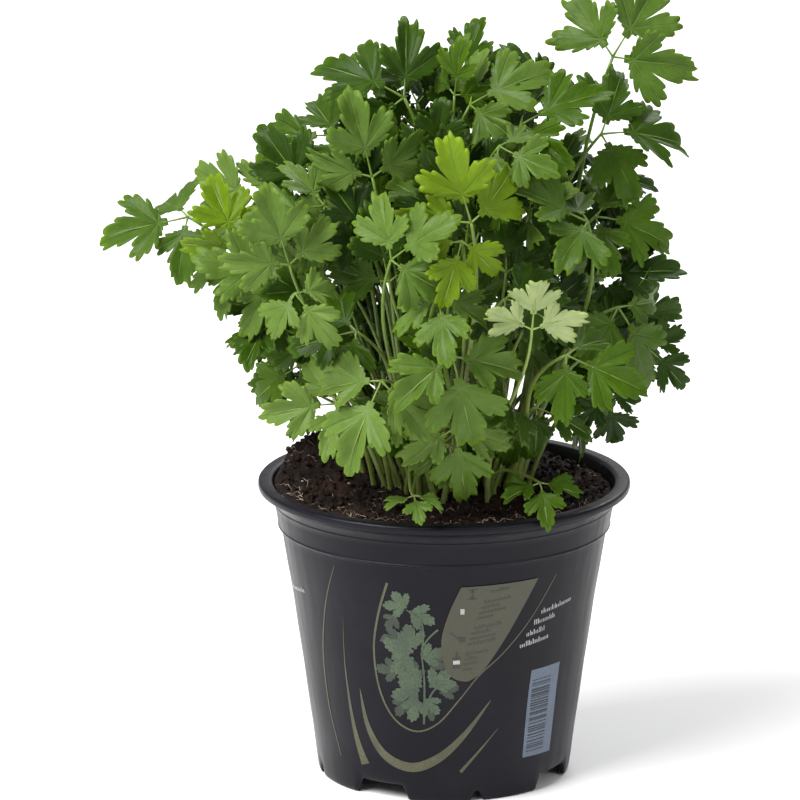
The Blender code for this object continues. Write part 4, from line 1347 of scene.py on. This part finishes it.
def soil_material(name="soil_peat", deep=(0.0050, 0.0033, 0.0028), warm=(0.030, 0.0185, 0.0145)):
    """Damp dark peat: mottled brown with wet glints and reddish crumbs."""
    n = Nodes(name)
    coords = n.object_coords()
    coarse = n.noise(260, 6, 0.68, coords)
    fine = n.noise(1500, 4, 0.65, coords)
    broad = n.noise(55, 3, 0.5, coords)
    mixed = n.math("ADD", n.math("MULTIPLY", coarse, 0.6), n.math("MULTIPLY", fine, 0.4))
    colour = n.blend(n.steps(mixed, 0.40, 0.66), deep, warm)
    colour = n.blend(n.steps(broad, 0.5, 0.68, 0.0, 0.5), colour, (0.042, 0.020, 0.014))
    n.shade("Base Color", colour)
    n.shade("Roughness", n.steps(coarse, 0.3, 0.65, 0.62, 0.95))
    n.shade("Specular IOR Level", 0.15)
    n.shade("Normal", n.bump(fine, 0.4 * MM, 0.8, n.bump(coarse, 1.2 * MM, 0.8)))
    return n.mat


def build_soil():
    """The peat filling: a rough top and smooth sides that follow the inside of the pot."""
    shares = [(i / SOIL_RINGS) ** 0.85 for i in range(1, SOIL_RINGS + 1)]
    verts = [Vector((0, 0, soil_height(0, 0))) * MM]
    for share in shares:
        for k in range(SOIL_TURNS):
            a = 2 * pi * k / SOIL_TURNS
            r = soil_radius(a) * share
            x, y = r * cos(a), r * sin(a)
            verts.append(Vector((x, y, soil_height(x, y))) * MM)
    for r, z in SOIL_SIDES:
        for k in range(SOIL_TURNS):
            a = 2 * pi * k / SOIL_TURNS
            verts.append(Vector((r * cos(a), r * sin(a), z)) * MM)
    verts.append(Vector((0, 0, FLOOR_Z)) * MM)
    rings = len(shares) + len(SOIL_SIDES)
    faces = []
    for k in range(SOIL_TURNS):
        m = (k + 1) % SOIL_TURNS
        faces.append((0, 1 + k, 1 + m))
        for row in range(rings - 1):
            low = 1 + row * SOIL_TURNS
            high = low + SOIL_TURNS
            faces.append((low + k, high + k, high + m, low + m))
        last = 1 + (rings - 1) * SOIL_TURNS
        faces.append((last + m, last + k, len(verts) - 1))
    soil = mesh_piece("soil_bed", verts, faces, [soil_material()])
    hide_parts("soil")
    settle(soil)


def lump(rng, verts, faces, centre, size, flat):
    """Add one rough crumb to a growing mesh."""
    crumb = bmesh.new()
    bmesh.ops.create_icosphere(crumb, subdivisions=1, radius=1.0)
    shift = Vector((rng.uniform(-50, 50), rng.uniform(-50, 50), rng.uniform(-50, 50)))
    spin_by = rng.uniform(0, 2 * pi)
    axle = Vector((rng.uniform(-1, 1), rng.uniform(-1, 1), 1)).normalized()
    spin = Matrix.Rotation(spin_by, 3, axle)
    stretch = Vector((1.0, rng.uniform(0.55, 1.0), flat * rng.uniform(0.6, 1.0)))
    base = len(verts)
    for vert in crumb.verts:
        rough = 1 + 0.45 * noise.noise(vert.co * 1.7 + shift)
        spot = Vector(c * s for c, s in zip(vert.co, stretch)) * rough * size
        verts.append((centre + spin @ spot) * MM)
    faces += [tuple(base + v.index for v in face.verts) for face in crumb.faces]
    crumb.free()


def anywhere(rng, inner, outer):
    """Random place on the soil, in mm."""
    r = sqrt(rng.uniform(inner * inner, outer * outer))
    a = rng.uniform(0, 2 * pi)
    return r * cos(a), r * sin(a)


def build_crumbs():
    """Loose crumbs, bark bits and a little white grit on the soil."""
    sorts = (
        ("soil_crumbs", 2600, (0.35, 1.5), 0.85, "soil_brown", soil_material("soil_crumb")),
        ("soil_bark", 150, (0.6, 1.8), 0.4, "bark_bit",
         soil_material("soil_bark_bits", (0.022, 0.010, 0.007), (0.080, 0.036, 0.024))),
        ("soil_grit", 16, (0.4, 0.8), 0.9, "white_grit",
         soil_material("soil_grit_white", (0.42, 0.40, 0.36), (0.66, 0.64, 0.60))),
    )
    for number, (name, count, sizes, flat, slot, mat) in enumerate(sorts):
        rng = Random(40 + number)
        verts = []
        faces = []
        for _ in range(count):
            size = sizes[0] + (sizes[1] - sizes[0]) * rng.random() ** 2.2
            x, y = anywhere(rng, 0, soil_wall(SOIL_LEVEL) - 0.6 - size)
            centre = Vector((x, y, soil_height(x, y) + size * 0.25))
            lump(rng, verts, faces, centre, size, flat)
        settle(mesh_piece(name, verts, faces, [mat], smooth=False))


HAIR_STEPS = 9
HAIR_REACH = 57.0


def hair(rng, skin, x, y, length, radius, lift=0.25):
    """Thin curled root lying on the soil, turned back before it passes the lip."""
    heading = rng.uniform(0, 2 * pi)
    bend = rng.uniform(-0.5, 0.5)
    hop = rng.uniform(0.2, 1.0)
    points = []
    for i in range(HAIR_STEPS):
        on_soil = hypot(x, y) < soil_radius(atan2(y, x)) - 0.5
        ground = soil_height(x, y) if on_soil else POT_H + 0.1
        points.append(Vector((x, y, ground + lift + hop * sin(pi * i / (HAIR_STEPS - 1)))))
        x += cos(heading) * length / HAIR_STEPS
        y += sin(heading) * length / HAIR_STEPS
        if hypot(x, y) > HAIR_REACH:
            heading += pi * 0.6
        heading += bend + rng.uniform(-0.35, 0.35)
    radii = [radius * (1 - 0.6 * i / HAIR_STEPS) for i in range(HAIR_STEPS)]
    add_tube(skin, points, radii, Vector((0.3, 0.2, 1.0)))


def root_material():
    """Dry root: brown with pale stretches."""
    n = Nodes("root_fibres")
    grain = n.noise(700, 3, 0.5, n.object_coords())
    browns = ((0.35, (0.05, 0.030, 0.020)), (0.5, (0.17, 0.115, 0.08)), (0.62, (0.50, 0.40, 0.31)))
    n.shade("Base Color", n.ramp(grain, browns))
    n.shade("Roughness", 0.8)
    return n.mat


def build_fibres():
    """Root hairs all over the soil, and stouter ones along the front of the lip."""
    rng = Random(77)
    skin = Skin()
    for i in range(130):
        near_rim = i % 2 == 0
        x, y = anywhere(rng, 38 if near_rim else 0, 52)
        hair(rng, skin, x, y, rng.uniform(3, 9), rng.uniform(0.05, 0.11))
    for i in range(34):
        a = radians(rng.uniform(-80, 65))
        r = rng.uniform(49, 55)
        hair(rng, skin, r * sin(a), -r * cos(a), rng.uniform(4, 11), rng.uniform(0.08, 0.16), 0.5)
    settle(mesh_piece("soil_fibres", skin.verts, skin.faces, [root_material()]))


# ---- studio

FLOOR_HALF = 6.0
FLOOR_DROP = 0.0002
WORLD_LIGHT = 0.44
# lamps: place (m), width (m), power (W), colour
LAMPS = {
    "key": ((-1.3, -0.95, 1.9), 1.7, 106, (1.0, 0.99, 0.97)),
    "fill": ((1.5, -1.3, 0.9), 1.3, 9, (0.95, 0.98, 1.0)),
    "back": ((0.5, 1.4, 1.5), 1.2, 26, (1.0, 1.0, 1.0)),
}
LAMP_AIM = Vector((0, 0, 0.13))


def add_floor():
    """Plain white floor, just under the foot of the pot."""
    n = Nodes("floor_white")
    n.shade("Base Color", (0.9, 0.9, 0.9, 1))
    n.shade("Roughness", 0.85)
    corners = [(x * FLOOR_HALF, y * FLOOR_HALF, 0) for x, y in ((-1, -1), (1, -1), (1, 1), (-1, 1))]
    floor = mesh_piece("floor", corners, [(0, 1, 2, 3)], [n.mat])
    floor.location.z = -FLOOR_DROP


def add_lights(scene):
    """Even white surroundings and three soft lamps."""
    world = bpy.data.worlds.new("studio")
    world.use_nodes = True
    sky = world.node_tree.nodes["Background"].inputs
    sky["Color"].default_value = (1.0, 1.0, 1.0, 1)
    sky["Strength"].default_value = WORLD_LIGHT
    scene.world = world
    for name, (place, width, power, colour) in LAMPS.items():
        light = bpy.data.lights.new(name, "AREA")
        light.size = width
        light.energy = power
        light.color = colour
        lamp = bpy.data.objects.new(name, light)
        lamp.location = place
        lamp.rotation_euler = (LAMP_AIM - Vector(place)).to_track_quat("-Z", "Y").to_euler()
        scene.collection.objects.link(lamp)


def add_camera(scene):
    """Long lens, a little above the pot and looking straight at its front."""
    camera = bpy.data.cameras.new("camera")
    camera.lens = CAMERA_LENS
    camera.sensor_width = CAMERA_SENSOR
    camera.clip_end = CAMERA_REACH
    ob = bpy.data.objects.new("camera", camera)
    tilt = radians(CAMERA_TILT)
    away = Vector((0, -cos(tilt), sin(tilt)))
    ob.location = LOOK_AT + away * CAMERA_DISTANCE
    ob.rotation_euler = (-away).to_track_quat("-Z", "Y").to_euler()
    scene.collection.objects.link(ob)
    scene.camera = ob


def build_studio():
    scene = bpy.context.scene
    scene.view_settings.view_transform = "Standard"
    add_floor()
    add_lights(scene)
    add_camera(scene)


# ---- build

build_studio()
build_pot()
print_strokes()
print_picture()
print_panel()
print_words()
build_soil()
build_crumbs()
build_fibres()
leaf_looks = leaf_materials()
places_taken = build_leaves(leaf_looks)
build_inner_leaves(leaf_looks, places_taken)
